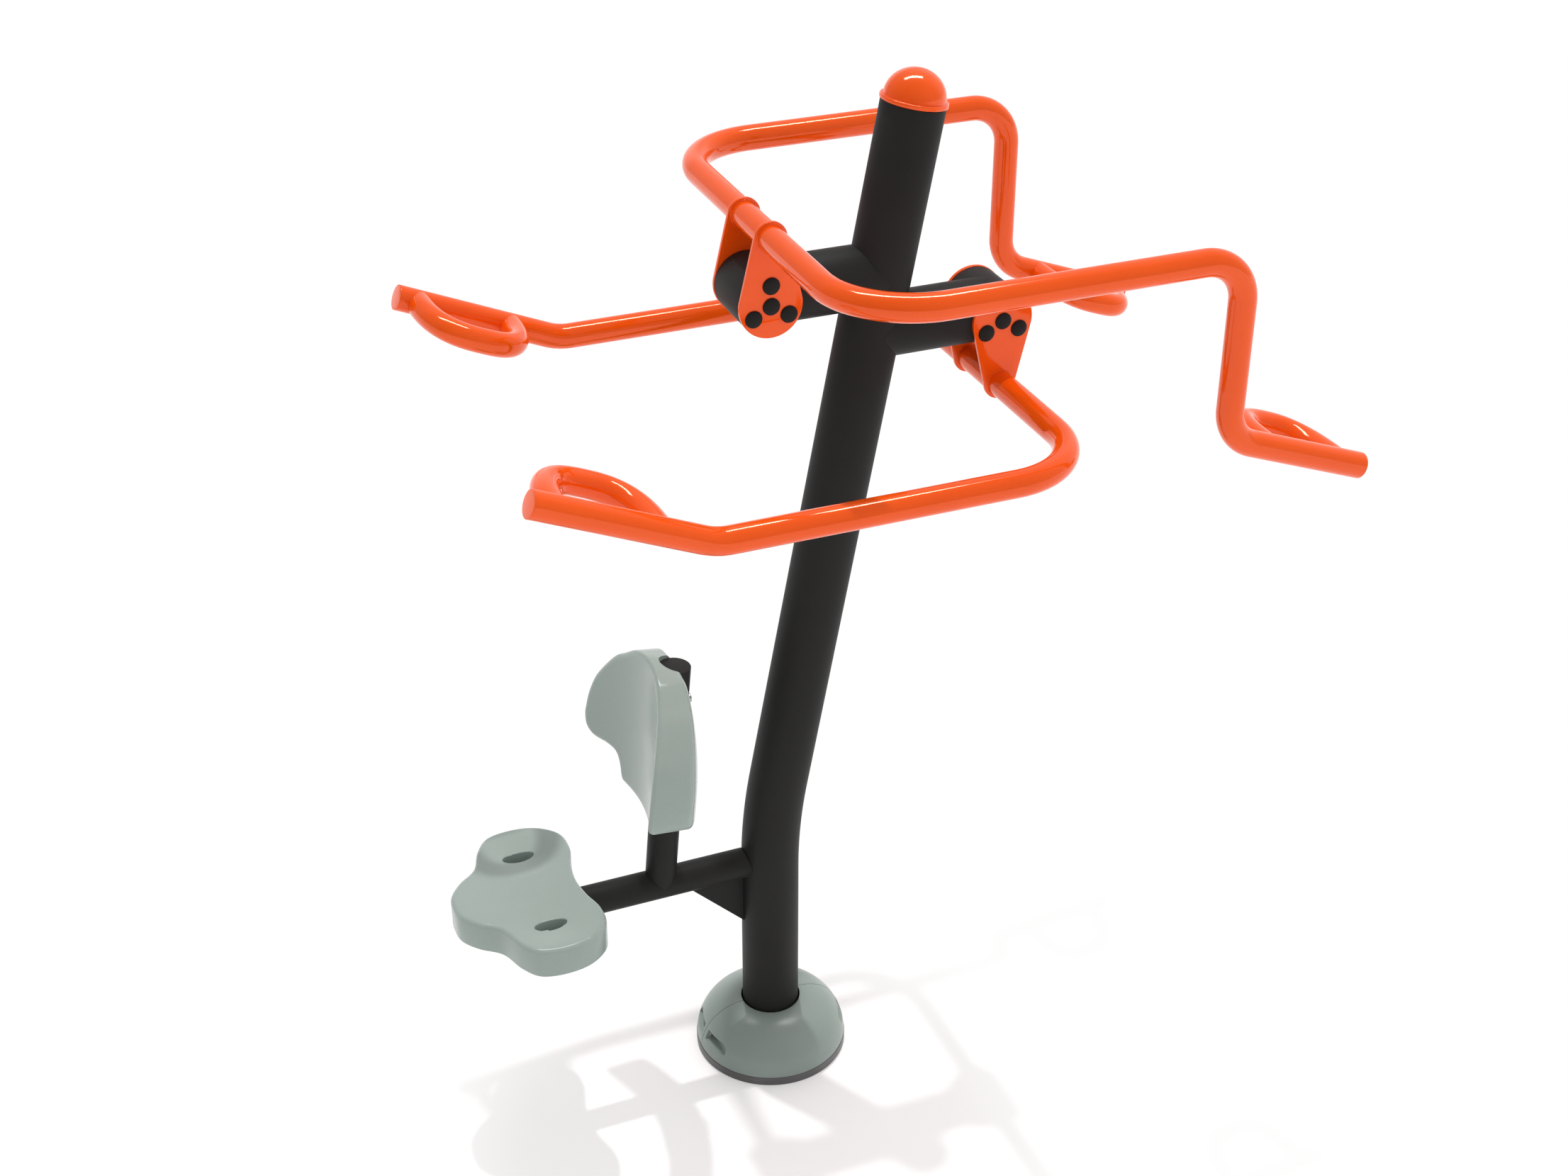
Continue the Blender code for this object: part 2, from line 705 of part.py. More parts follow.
# Seat
seat_sections = []
for place_share, rear_share, front_share in zip(mirrored(seat_station_shares), both(seat_rear_shares),
                                                both(seat_front_shares)):
    y = seat_half_width * place_share
    rear = seat_rear_x - seat_length * rear_share
    front = seat_rear_x - seat_length * front_share
    outline = section(front, rear, seat_bottom, seat_top,
                      (seat_bottom_edge, seat_bottom_edge, seat_top_edge, seat_top_edge))
    seat_sections.append([(a, y, b) for a, b in outline])
seat = loft("seat", seat_sections, plastic("seat"))
cut(seat, bar_cutter)

strap_top = seat_bottom - touch_gap
strap_low = strap_top - strap_thickness
strap_half_span = dish_y + strap_overhang
cradle = (bar_radius + touch_gap) / math.cos(math.pi / 2 / strap_arc_steps)
strap_outline = [(-strap_half_span, strap_low), (-strap_half_span, strap_top), (-cradle, strap_top)]
for step in range(strap_arc_steps + 1):
    turn = math.pi + math.pi * step / strap_arc_steps
    strap_outline.append((cradle * math.cos(turn), bar_height + cradle * math.sin(turn)))
strap_outline += [(cradle, strap_top), (strap_half_span, strap_top), (strap_half_span, strap_low)]
outer = cradle + strap_thickness
start = math.asin((bar_height - strap_low) / outer)
for step in range(strap_arc_steps + 1):
    turn = -start - (math.pi - 2 * start) * step / strap_arc_steps
    strap_outline.append((outer * math.cos(turn), bar_height + outer * math.sin(turn)))
strap_frame = Matrix.Translation((dish_x - strap_half_width, 0, 0)) @ Matrix(((0, 0, 1, 0), (1, 0, 0, 0),
                                                                            (0, 1, 0, 0), (0, 0, 0, 1)))
strap = prism("seat_strap", strap_outline, strap_half_width * 2, coat("seat_strap"), strap_frame)

for side_name, side in (("near", -1), ("far", 1)):
    spot = Matrix.Translation((dish_x, side * dish_y, 0))
    ball_radius = (dish_radius ** 2 + dish_depth ** 2) / (2 * dish_depth)
    dish_profile = []
    for step in range(1, cap_dome_steps + 1):
        away = dish_radius * dish_reach_share * step / cap_dome_steps
        rise = ball_radius - math.sqrt(ball_radius ** 2 - away ** 2)
        dish_profile.append((away, seat_top - dish_depth + rise))
    dish = turned("dish_" + side_name, dish_profile + [(dish_profile[-1][0], seat_top + overrun)],
                  dish_sides, False, None, spot)
    slot_low = seat_top - dish_depth - slot_depth
    slot_outline = []
    for step in range(slot_sides):
        turn = math.tau * step / slot_sides
        slot_outline.append((slot_half_length * math.cos(turn), slot_half_width * math.sin(turn)))
    slot = prism("slot_" + side_name, slot_outline, seat_top + overrun - slot_low, None,
                 spot @ Matrix.Translation((0, 0, slot_low)))
    head_top = strap_low - touch_gap
    screw_top = seat_bottom + seat_screw_depth
    screw_profile = ((seat_screw_head_radius, head_top - seat_screw_head_height),
                     (seat_screw_head_radius, head_top), (seat_screw_radius, head_top),
                     (seat_screw_radius, screw_top))
    screw_name = "seat_screw_" + side_name
    turned(screw_name, screw_profile, screw_sides, False, plated(screw_name), spot)
    wide = seat_screw_radius + touch_gap
    hole_profile = ((wide, head_top - overrun), (wide, screw_top + touch_gap))
    hole = turned(screw_name + "_hole", hole_profile, screw_sides, False, None, spot)
    cut(seat, dish, slot, hole)
    cut(strap, hole)

# Backrest, its rear side drawn forward toward the top so that the post comes out of it there
rest_top = rest_low + rest_height
rest_sections = []
for place_share, top_share, low_share in zip(mirrored(rest_station_shares), both(rest_top_shares),
                                             both(rest_low_shares)):
    y = rest_half_width * place_share
    forward = rest_sweep * place_share ** 2
    front = -rest_front - forward
    rear = rest_rear - forward
    outline = section(front, rear, rest_low + rest_height * low_share, rest_low + rest_height * top_share,
                      (rest_front_edge, rest_rear_edge, rest_rear_edge, rest_front_edge))
    half = len(outline) // 2
    below, above = outline[half - 1], outline[half]
    between = []
    for step in range(1, rest_recess_steps):
        between.append((rear, below[1] + (above[1] - below[1]) * step / rest_recess_steps))
    points = []
    for a, b in outline[:half] + between + outline[half:]:
        drawn = rest_recess * (max(b - rest_recess_low, 0) / (rest_top - rest_recess_low)) ** 2
        points.append((a - drawn * (a - front) / (rear - front), y, b))
    rest_sections.append(points)
backrest = loft("backrest", rest_sections, plastic("backrest"), rest_frame)
cut(backrest, rest_cutter)

for bolt_name, up in (("backrest_bolt_low", rest_bolt_low_up), ("backrest_bolt_high", rest_bolt_high_up)):
    frame = rest_frame @ Matrix.Translation((0, 0, up)) @ Matrix.Rotation(math.pi / 2, 4, 'Y')
    head_low = bar_radius + touch_gap
    tip = -bar_radius - rest_bolt_depth
    profile = ((rest_bolt_radius, tip), (rest_bolt_radius, head_low), (rest_bolt_head_radius, head_low),
               (rest_bolt_head_radius, head_low + rest_bolt_head_height))
    turned(bolt_name, profile, screw_sides, False, plated(bolt_name), frame)
    wide = rest_bolt_radius + touch_gap
    head_wide = rest_bolt_head_radius + touch_gap
    step_up = head_low - touch_gap / 2
    hole_profile = ((wide, tip - touch_gap), (wide, step_up), (head_wide, step_up),
                    (head_wide, head_low + overrun))
    hole = turned(bolt_name + "_hole", hole_profile, screw_sides, False, None, frame)
    cut(back_post, hole)
    cut(backrest, hole)
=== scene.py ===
# Outdoor lat pulldown machine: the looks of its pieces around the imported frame
import bpy
import json
import math
from mathutils import Matrix, Vector


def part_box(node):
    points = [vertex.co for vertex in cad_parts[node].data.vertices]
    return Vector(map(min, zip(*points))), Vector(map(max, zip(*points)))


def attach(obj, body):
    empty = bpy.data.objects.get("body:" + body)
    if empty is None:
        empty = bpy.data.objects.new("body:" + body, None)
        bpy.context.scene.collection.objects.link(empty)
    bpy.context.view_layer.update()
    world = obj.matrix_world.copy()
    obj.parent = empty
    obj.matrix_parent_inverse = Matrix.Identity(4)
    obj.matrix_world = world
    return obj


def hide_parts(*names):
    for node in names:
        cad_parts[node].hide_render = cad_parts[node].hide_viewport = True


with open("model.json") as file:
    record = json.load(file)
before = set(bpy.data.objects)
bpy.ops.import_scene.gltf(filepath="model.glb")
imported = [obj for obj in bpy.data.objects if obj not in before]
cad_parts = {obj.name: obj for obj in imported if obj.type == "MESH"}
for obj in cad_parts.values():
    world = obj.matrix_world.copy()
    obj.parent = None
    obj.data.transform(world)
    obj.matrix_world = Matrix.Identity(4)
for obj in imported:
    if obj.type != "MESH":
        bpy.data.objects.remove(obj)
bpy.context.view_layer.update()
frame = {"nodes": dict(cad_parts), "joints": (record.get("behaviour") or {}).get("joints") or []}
nodes = frame["nodes"]
pivots = {joint["child"]: Vector(joint["pos_m"]) for joint in frame["joints"]}
print("frame loaded:", len(nodes), "nodes")

xAxis = Vector((1, 0, 0))
yAxis = Vector((0, 1, 0))
zAxis = Vector((0, 0, 1))
fit = 0.0003        # clearance that the frame keeps between touching pieces
past = 0.02         # how far a cutter runs past what it cuts
same = 0.00001      # points closer than this become one


# Materials

class Wire:
    # A node's output that can stand in a sum
    def __init__(self, tree, socket):
        self.tree = tree
        self.socket = socket

    def maths(self, operation, first, second):
        node = self.tree.nodes.new("ShaderNodeMath")
        node.operation = operation
        for place, value in enumerate((first, second)):
            if isinstance(value, Wire):
                self.tree.links.new(value.socket, node.inputs[place])
            else:
                node.inputs[place].default_value = value
        return Wire(self.tree, node.outputs[0])

    def __add__(self, other):
        return self.maths("ADD", self, other)

    def __radd__(self, other):
        return self.maths("ADD", other, self)

    def __rsub__(self, other):
        return self.maths("SUBTRACT", other, self)

    def __mul__(self, other):
        return self.maths("MULTIPLY", self, other)


class Nodes:
    # The node tree of one material or of the world
    def __init__(self, owner):
        owner.use_nodes = True
        self.tree = owner.node_tree
        self.tree.nodes.clear()

    def add(self, kind, settings, sockets, output=0):
        node = self.tree.nodes.new(kind)
        for key, value in settings.items():
            if key == "stops":
                for place, (position, colour) in enumerate(value):
                    stops = node.color_ramp.elements
                    stop = stops[place] if place < len(stops) else stops.new(position)
                    stop.position = position
                    stop.color = colour
            else:
                setattr(node, key, value)
        for key, value in sockets.items():
            if isinstance(value, Wire):
                self.tree.links.new(value.socket, node.inputs[key])
            else:
                node.inputs[key].default_value = value
        return Wire(self.tree, node.outputs[output]) if node.outputs else node

    def place(self):
        return self.add("ShaderNodeTexCoord", {}, {}, "Object")

    def noise(self, scale, detail, roughness):
        sockets = {"Vector": self.place(), "Scale": scale, "Detail": detail, "Roughness": roughness}
        return self.add("ShaderNodeTexNoise", {}, sockets, "Fac")

    def spread(self, value, ends):
        # What lies between two ends, stretched to 0 to 1
        sockets = {"Value": value, "From Min": ends[0], "From Max": ends[1]}
        return self.add("ShaderNodeMapRange", {}, sockets)

    def bump(self, strength, depth, height):
        return self.add("ShaderNodeBump", {}, {"Strength": strength, "Distance": depth, "Height": height})

    def ramp(self, value, stops):
        return self.add("ShaderNodeValToRGB", {"stops": stops}, {"Fac": value}, "Color")

    def blend(self, share, first, second):
        sockets = {"Factor": share, 6: first, 7: second}
        return self.add("ShaderNodeMix", {"data_type": 'RGBA'}, sockets, 2)

    def finish(self, surface):
        self.add("ShaderNodeOutputMaterial", {}, {"Surface": surface})


def grey(value):
    return (value, value, value, 1.0)


def paler(colour, share):
    return tuple(part * share for part in colour[:3]) + (1.0,)


# Noises are given as scale per metre, detail and roughness
coatLook = {
    "cloud": (5.0, 3.0, 0.6),           # slow drift of the colour and of the gloss
    "speck": (1500.0, 1.0, 0.5), "cloudShare": 0.8, "speckShare": 0.2, "contrast": (0.35, 0.65),
    "strength": 0.6, "ior": 1.46,
}
flow = (120.0, 2.0, 0.5)                # gentle flow of a gloss coat
tooth = (1500.0, 2.0, 0.5)              # fine tooth of a satin coat
orange = {"colour": (0.900, 0.097, 0.0040, 1.0), "deep": (0.865, 0.090, 0.0034, 1.0)}
charcoal = {"colour": (0.0214, 0.0209, 0.0204, 1.0), "deep": (0.0186, 0.0181, 0.0176, 1.0)}
capBlack = {"colour": (0.0150, 0.0146, 0.0142, 1.0), "deep": (0.0120, 0.0118, 0.0116, 1.0)}
footGrey = {"colour": (0.105, 0.098, 0.102, 1.0), "deep": (0.080, 0.075, 0.078, 1.0)}
coats = {
    "orangeCoat": {**orange, "metallic": 0.13, "roughness": 0.105, "spread": 0.03, "level": 0.5,
                   "skin": flow, "depth": 0.000003},
    "capPlastic": {**orange, "metallic": 0.10, "roughness": 0.11, "spread": 0.03, "level": 0.5,
                   "skin": flow, "depth": 0.000004},
    "charcoalCoat": {**charcoal, "metallic": 0.0, "roughness": 0.52, "spread": 0.08, "level": 0.14,
                     "skin": tooth, "depth": 0.00012},
    "boltCaps": {**capBlack, "metallic": 0.0, "roughness": 0.50, "spread": 0.08, "level": 0.16,
                 "skin": tooth, "depth": 0.0001},
    "footCoat": {**footGrey, "metallic": 0.0, "roughness": 0.32, "spread": 0.10, "level": 0.6,
                 "skin": tooth, "depth": 0.0003},
}


def paintCoat(name):
    coat = coats[name]
    material = bpy.data.materials.new(name)
    tree = Nodes(material)
    cloud = tree.noise(*coatLook["cloud"])
    speck = tree.noise(*coatLook["speck"])
    mottle = cloud * coatLook["cloudShare"] + speck * coatLook["speckShare"]
    share = tree.spread(mottle, coatLook["contrast"])
    skin = tree.noise(*coat["skin"])
    surface = tree.add("ShaderNodeBsdfPrincipled", {}, {
        "Base Color": tree.blend(share, coat["deep"], coat["colour"]), "Metallic": coat["metallic"],
        "Roughness": coat["roughness"] - coat["spread"] / 2 + cloud * coat["spread"],
        "IOR": coatLook["ior"], "Specular IOR Level": coat["level"],
        "Normal": tree.bump(coatLook["strength"], coat["depth"], skin)})
    tree.finish(surface)
    return material


plasticLook = {
    "grain": (620.0, 3.0, 0.65), "speck": (1400.0, 2.0, 0.6), "cloud": (6.0, 2.0, 0.5),
    "shares": (0.45, 0.35, 0.2), "contrast": (0.38, 0.62), "spread": 0.1, "ior": 1.45,
    "strength": 0.55, "depth": 0.00006, "grainHeight": 0.7, "speckHeight": 0.3,
}
plastics = {
    "seatPlastic": {"colour": (0.325, 0.386, 0.353, 1.0), "deep": (0.285, 0.341, 0.311, 1.0),
                    "roughness": 0.21},
    "coverPlastic": {"colour": (0.262, 0.312, 0.284, 1.0), "deep": (0.228, 0.274, 0.249, 1.0),
                     "roughness": 0.30},
}


def mouldedPlastic(name):
    plastic = plastics[name]
    material = bpy.data.materials.new(name)
    tree = Nodes(material)
    grain = tree.noise(*plasticLook["grain"])
    speck = tree.noise(*plasticLook["speck"])
    cloud = tree.noise(*plasticLook["cloud"])
    ofGrain, ofSpeck, ofCloud = plasticLook["shares"]
    share = tree.spread(grain * ofGrain + speck * ofSpeck + cloud * ofCloud, plasticLook["contrast"])
    height = grain * plasticLook["grainHeight"] + speck * plasticLook["speckHeight"]
    surface = tree.add("ShaderNodeBsdfPrincipled", {}, {
        "Base Color": tree.blend(share, plastic["deep"], plastic["colour"]), "IOR": plasticLook["ior"],
        "Roughness": plastic["roughness"] - plasticLook["spread"] / 2 + speck * plasticLook["spread"],
        "Normal": tree.bump(plasticLook["strength"], plasticLook["depth"], height)})
    tree.finish(surface)
    return material


zinc = {"colour": (0.46, 0.46, 0.44, 1.0), "paler": 1.25, "cloud": (180.0, 4.0, 0.6), "roughness": 0.42,
        "spread": 0.2, "strength": 0.3, "depth": 0.0002}
rubber = {"colour": grey(0.015), "paler": 1.6, "grain": (900.0, 3.0, 0.6), "roughness": 0.65, "spread": 0.2,
          "strength": 0.5, "depth": 0.0003}


def bareMetal(name, metal):
    material = bpy.data.materials.new(name)
    tree = Nodes(material)
    cloud = tree.noise(*metal["cloud"])
    surface = tree.add("ShaderNodeBsdfPrincipled", {}, {
        "Base Color": tree.blend(cloud, metal["colour"], paler(metal["colour"], metal["paler"])),
        "Metallic": 1.0, "Roughness": metal["roughness"] - metal["spread"] / 2 + cloud * metal["spread"],
        "Normal": tree.bump(metal["strength"], metal["depth"], cloud)})
    tree.finish(surface)
    return material


def softRubber(name, soft):
    material = bpy.data.materials.new(name)
    tree = Nodes(material)
    grain = tree.noise(*soft["grain"])
    surface = tree.add("ShaderNodeBsdfPrincipled", {}, {
        "Base Color": tree.blend(grain, soft["colour"], paler(soft["colour"], soft["paler"])),
        "Roughness": soft["roughness"] + grain * soft["spread"],
        "Normal": tree.bump(soft["strength"], soft["depth"], grain)})
    tree.finish(surface)
    return material


orangeCoat = paintCoat("orangeCoat")
capCoat = paintCoat("capPlastic")
charcoalCoat = paintCoat("charcoalCoat")
boltCoat = paintCoat("boltCaps")
footCoat = paintCoat("footCoat")
seatPlastic = mouldedPlastic("seatPlastic")
coverPlastic = mouldedPlastic("coverPlastic")
zincMetal = bareMetal("zincMetal", zinc)
bushRubber = softRubber("bushRubber", rubber)
print("materials made")


# Modelling helpers

def letGo():
    if bpy.context.object and bpy.context.object.mode != 'OBJECT':
        bpy.ops.object.mode_set(mode='OBJECT')
    bpy.ops.object.select_all(action='DESELECT')


def pick(piece):
    letGo()
    piece.select_set(True)
    bpy.context.view_layer.objects.active = piece


def edit(mode='VERT'):
    bpy.ops.object.mode_set(mode='EDIT')
    bpy.ops.mesh.select_mode(type=mode)


def settle(piece, matrix):
    pick(piece)
    piece.matrix_world = matrix
    bpy.ops.object.transform_apply(location=True, rotation=True, scale=True)


def ring(name, centre, heading, radius, sides):
    # An open ring across the heading, left selected in edit mode
    letGo()
    turn = heading.to_track_quat('Z', 'Y').to_euler()
    bpy.ops.mesh.primitive_circle_add(vertices=sides, radius=radius, fill_type='NOTHING', location=centre,
                                      rotation=turn)
    piece = bpy.context.object
    piece.name = name
    bpy.ops.object.transform_apply(location=True, rotation=True, scale=True)
    edit()
    bpy.ops.mesh.select_all(action='SELECT')
    return piece


def push(step):
    bpy.ops.mesh.extrude_region_move(TRANSFORM_OT_translate={"value": step})


def closeUp():
    # Welds the seams, fills the ends and turns the faces outwards
    bpy.ops.mesh.select_all(action='SELECT')
    bpy.ops.mesh.remove_doubles(threshold=same)
    bpy.ops.mesh.fill_holes(sides=0)
    bpy.ops.mesh.normals_make_consistent(inside=False)
    bpy.ops.object.mode_set(mode='OBJECT')


def turnOut(piece):
    # All faces outwards, and back to object mode
    pick(piece)
    edit()
    bpy.ops.mesh.select_all(action='SELECT')
    bpy.ops.mesh.normals_make_consistent(inside=False)
    bpy.ops.object.mode_set(mode='OBJECT')


def bentTube(name, corners, radii, radius, sides, steps):
    # Straight runs joined by true arcs
    position = corners[0]
    heading = (corners[1] - corners[0]).normalized()
    piece = ring(name, position, heading, radius, sides)
    for corner, following, bend in zip(corners[1:-1], corners[2:], radii):
        onward = (following - corner).normalized()
        turn = heading.angle(onward)
        trim = bend * math.tan(turn / 2)
        start = corner - heading * trim
        inside = (onward - heading * heading.dot(onward)).normalized()
        push(start - position)
        bpy.ops.mesh.spin(steps=steps, angle=-turn, center=start + inside * bend,
                          axis=heading.cross(onward).normalized())
        position = corner + onward * trim
        heading = onward
    push(corners[-1] - position)
    closeUp()
    return piece


def sweptTube(name, points, radius, sides, matrix):
    # A ring pushed along a route in XY, and turned at each point to face along it
    ways = []
    for place in range(len(points)):
        ahead = points[min(place + 1, len(points) - 1)] - points[max(place - 1, 0)]
        ways.append(ahead.normalized())
    piece = ring(name, points[0], ways[0], radius, sides)
    for place in range(1, len(points)):
        push(points[place] - points[place - 1])
        turn = math.atan2(ways[place - 1].cross(ways[place]).z, ways[place - 1].dot(ways[place]))
        bpy.ops.transform.rotate(value=-turn, orient_axis='Z', center_override=points[place])
    closeUp()
    settle(piece, matrix)
    return piece


def turned(name, profile, sides, matrix):
    # Rings of (radius, height) about Z, from one end to the other
    radius, height = profile[0]
    piece = ring(name, Vector((0, 0, height)), zAxis, radius, sides)
    for nextRadius, nextHeight in profile[1:]:
        push((0, 0, nextHeight - height))
        share = nextRadius / radius
        bpy.ops.transform.resize(value=(share, share, 1), center_override=(0, 0, nextHeight))
        radius, height = nextRadius, nextHeight
    closeUp()
    settle(piece, matrix)
    return piece


def rod(name, start, end, radius, sides):
    piece = ring(name, start, end - start, radius, sides)
    push(end - start)
    closeUp()
    return piece


def block(name, low, high):
    letGo()
    size = [b - a for a, b in zip(low, high)]
    middle = [(a + b) / 2 for a, b in zip(low, high)]
    bpy.ops.mesh.primitive_cube_add(size=1, location=middle, scale=size)
    piece = bpy.context.object
    piece.name = name
    bpy.ops.object.transform_apply(location=True, rotation=True, scale=True)
    return piece


def cut(piece, *cutters):
    for cutter in cutters:
        pick(piece)
        step = piece.modifiers.new("cut", 'BOOLEAN')
        step.operation = 'DIFFERENCE'
        step.solver = 'EXACT'
        step.object = cutter
        bpy.ops.object.modifier_apply(modifier="cut")
        bpy.data.objects.remove(cutter)
    return piece


def roundEdges(piece, width, segments, degrees):
    pick(piece)
    step = piece.modifiers.new("round", 'BEVEL')
    step.width = width
    step.segments = segments
    step.limit_method = 'ANGLE'
    step.angle_limit = math.radians(degrees)
    bpy.ops.object.modifier_apply(modifier="round")
    return piece


def copied(piece, name, matrix):
    pick(piece)
    bpy.ops.object.duplicate()
    twin = bpy.context.object
    twin.name = name
    twin.data.transform(matrix)
    if matrix.determinant() < 0:
        twin.data.flip_normals()
    return twin


def joined(pieces):
    letGo()
    for piece in pieces:
        piece.select_set(True)
    bpy.context.view_layer.objects.active = pieces[0]
    bpy.ops.object.join()
    return bpy.context.object


def dress(piece, material, body, slot, *replaced, degrees=32):
    pick(piece)
    bpy.ops.object.shade_smooth_by_angle(angle=math.radians(degrees))
    piece.data.materials.clear()
    piece.data.materials.append(material)
    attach(piece, body)
    if replaced:
        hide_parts(*replaced)


def keep(material, *names):
    for name in names:
        for place in nodes[name].material_slots:
            place.material = material


def across(centre, outward):
    # A frame on the hub's axis whose Z points along +Y or -Y
    return Matrix.Translation(centre) @ Matrix.Rotation(math.radians(-90 * outward), 4, 'X')


def evenly(dense, count):
    # Evenly spaced points along a dense line
    lengths = [0.0]
    for one, two in zip(dense, dense[1:]):
        lengths.append(lengths[-1] + (two - one).length)
    points = []
    place = 0
    for number in range(count + 1):
        target = lengths[-1] * number / count
        while place < len(dense) - 2 and lengths[place + 1] < target:
            place += 1
        share = (target - lengths[place]) / (lengths[place + 1] - lengths[place])
        points.append(dense[place].lerp(dense[place + 1], share))
    return points


def arc(centreA, centreB, radius, start, end, steps):
    points = []
    for step in range(steps + 1):
        turn = math.radians(start + (end - start) * step / steps)
        points.append((centreA + radius * math.cos(turn), centreB + radius * math.sin(turn)))
    return points


# Post, cap, beams and hubs

post = {
    "radius": 0.05715, "lean": math.radians(10.566), "bendHeight": 0.5515, "bendRadius": 1.1,
    "upperLength": 1.4460, "foot": 0.0190, "edge": 0.0012, "sides": 96, "steps": 24,
}
leanWay = Vector((math.sin(post["lean"]), 0, math.cos(post["lean"])))
bendPoint = Vector((0, 0, post["bendHeight"]))
postTop = bendPoint + leanWay * post["upperLength"]
mainPost = bentTube("mainPost", [Vector((0, 0, post["foot"])), bendPoint, postTop], [post["bendRadius"]],
                    post["radius"], post["sides"], post["steps"])
roundEdges(mainPost, post["edge"], 2, 60)
dress(mainPost, charcoalCoat, "base", "charcoal_paint", "main_post")

cap = {
    "rim": 0.0598, "foot": 0.0588, "lip": 0.0015, "rimHeight": 0.0082, "domeRadius": 0.0543,
    "domeHeight": 0.0498, "groove": 0.0008, "spigot": 0.0511, "spigotDepth": 0.022, "steps": 20, "sides": 96,
    "lowArc": (-60, 0, 4), "highArc": (0, 80, 6),       # from and to in degrees, and steps
    "firstStep": 0.2, "tip": 0.02,                      # where the dome starts, and its last ring's share
}
capProfile = [
    (cap["spigot"] - cap["lip"], -cap["spigotDepth"]), (cap["spigot"], -cap["spigotDepth"] + cap["lip"]),
    (cap["spigot"], fit), (cap["foot"], fit)]
shoulder = 2 * cap["lip"]
capProfile += arc(cap["rim"] - cap["lip"], fit + cap["lip"], cap["lip"], *cap["lowArc"])
capProfile += arc(cap["rim"] - shoulder, cap["rimHeight"] - shoulder, shoulder, *cap["highArc"])
capProfile.append((cap["domeRadius"] + cap["groove"], cap["rimHeight"] - cap["groove"]))
for step in range(cap["steps"]):
    turn = math.pi / 2 * (step + cap["firstStep"]) / cap["steps"]
    height = cap["rimHeight"] + cap["domeHeight"] * math.sin(turn)
    capProfile.append((cap["domeRadius"] * math.cos(turn), height))
capProfile.append((cap["domeRadius"] * cap["tip"], cap["rimHeight"] + cap["domeHeight"]))
capFrame = Matrix.Translation(postTop) @ Matrix.Rotation(post["lean"], 4, 'Y')
postCap = turned("postCap", capProfile, cap["sides"], capFrame)
dress(postCap, capCoat, "base", "cap_plastic", "post_cap", degrees=40)

hub = {"radius": 0.0568, "halfLength": 0.0577, "edge": 0.0016, "sides": 96, "wall": 0.0056,
       "lowArc": (-60, 0, 3), "highArc": (0, 90, 4)}
inner = hub["radius"] - hub["wall"]
onEdge = hub["radius"] - hub["edge"]
hubProfile = [(inner, -hub["halfLength"]), (onEdge, -hub["halfLength"])]
hubProfile += arc(onEdge, -hub["halfLength"] + hub["edge"], hub["edge"], *hub["lowArc"])
hubProfile += arc(onEdge, hub["halfLength"] - hub["edge"], hub["edge"], *hub["highArc"])
hubProfile += [(inner, hub["halfLength"]), (inner, -hub["halfLength"])]
leanRod = (bendPoint, postTop + leanWay * past)
for side, body in (("left", "upper_arm"), ("right", "lower_arm")):
    centre = pivots[body]
    housing = turned(side + "Housing", hubProfile, hub["sides"], across(centre, 1))
    dress(housing, charcoalCoat, "base", "charcoal_paint", side + "_housing")
    onPost = bendPoint + leanWay * ((centre.z - post["bendHeight"]) / math.cos(post["lean"]))
    beam = rod(side + "Beam", centre, onPost, post["radius"], post["sides"])
    hubEnd = yAxis * (hub["halfLength"] + past)
    cut(beam, rod("postCutter", leanRod[0], leanRod[1], post["radius"] + fit, post["sides"]),
        rod("hubCutter", centre - hubEnd, centre + hubEnd, hub["radius"] + fit, hub["sides"]))
    dress(beam, charcoalCoat, "base", "charcoal_paint", side + "_beam")
keep(bushRubber, "left_bush", "right_bush")
keep(zincMetal, "upper_spindle", "lower_spindle")
print("post, cap, beams and hubs done")

# Foot plate and its two-part cover

foot = {"radius": 0.154, "thickness": 0.0187, "edge": 0.0012, "sides": 128, "lowArc": (-45, 0, 3),
        "highArc": (0, 90, 4), "studCircle": 0.108, "studHole": 0.0083, "studTurns": (45, 135, 225, 315)}
onEdge = foot["radius"] - foot["edge"]
footProfile = [(onEdge, 0)]
footProfile += arc(onEdge, foot["edge"], foot["edge"], *foot["lowArc"])
footProfile += arc(onEdge, foot["thickness"] - foot["edge"], foot["edge"], *foot["highArc"])
footPlate = turned("footPlate", footProfile, foot["sides"], Matrix())
for turn in foot["studTurns"]:
    spot = Matrix.Rotation(math.radians(turn), 3, 'Z') @ Vector((foot["studCircle"], 0, 0))
    cut(footPlate, rod("studCutter", spot - zAxis * past, spot + zAxis * past, foot["studHole"], 32))
dress(footPlate, footCoat, "base", "foot_plate", "base_flange")
keep(zincMetal, "anchor_stud_1", "anchor_stud_2", "anchor_stud_3", "anchor_stud_4")

cover = {
    "low": 0.0190, "rim": 0.153, "arc": 0.093, "wall": 0.004, "hole": 0.0605, "seam": 0.0006, "steps": 28,
    "sides": 160, "pocketX": 0.1256, "pocketLow": 0.045, "pocketHigh": 0.066, "pocketNear": 0.009,
    "pocketFar": 0.072, "pocketEdge": 0.0022, "boss": 0.005, "screwInset": 0.008, "bore": 0.0033,
    "edge": 0.0006,
}


def domeProfile(inset, low):
    points = [(cover["rim"] - inset, low)] if low < cover["low"] else []
    points += arc(cover["rim"] - cover["arc"], cover["low"], cover["arc"] - inset, 0, 90, cover["steps"])
    return points


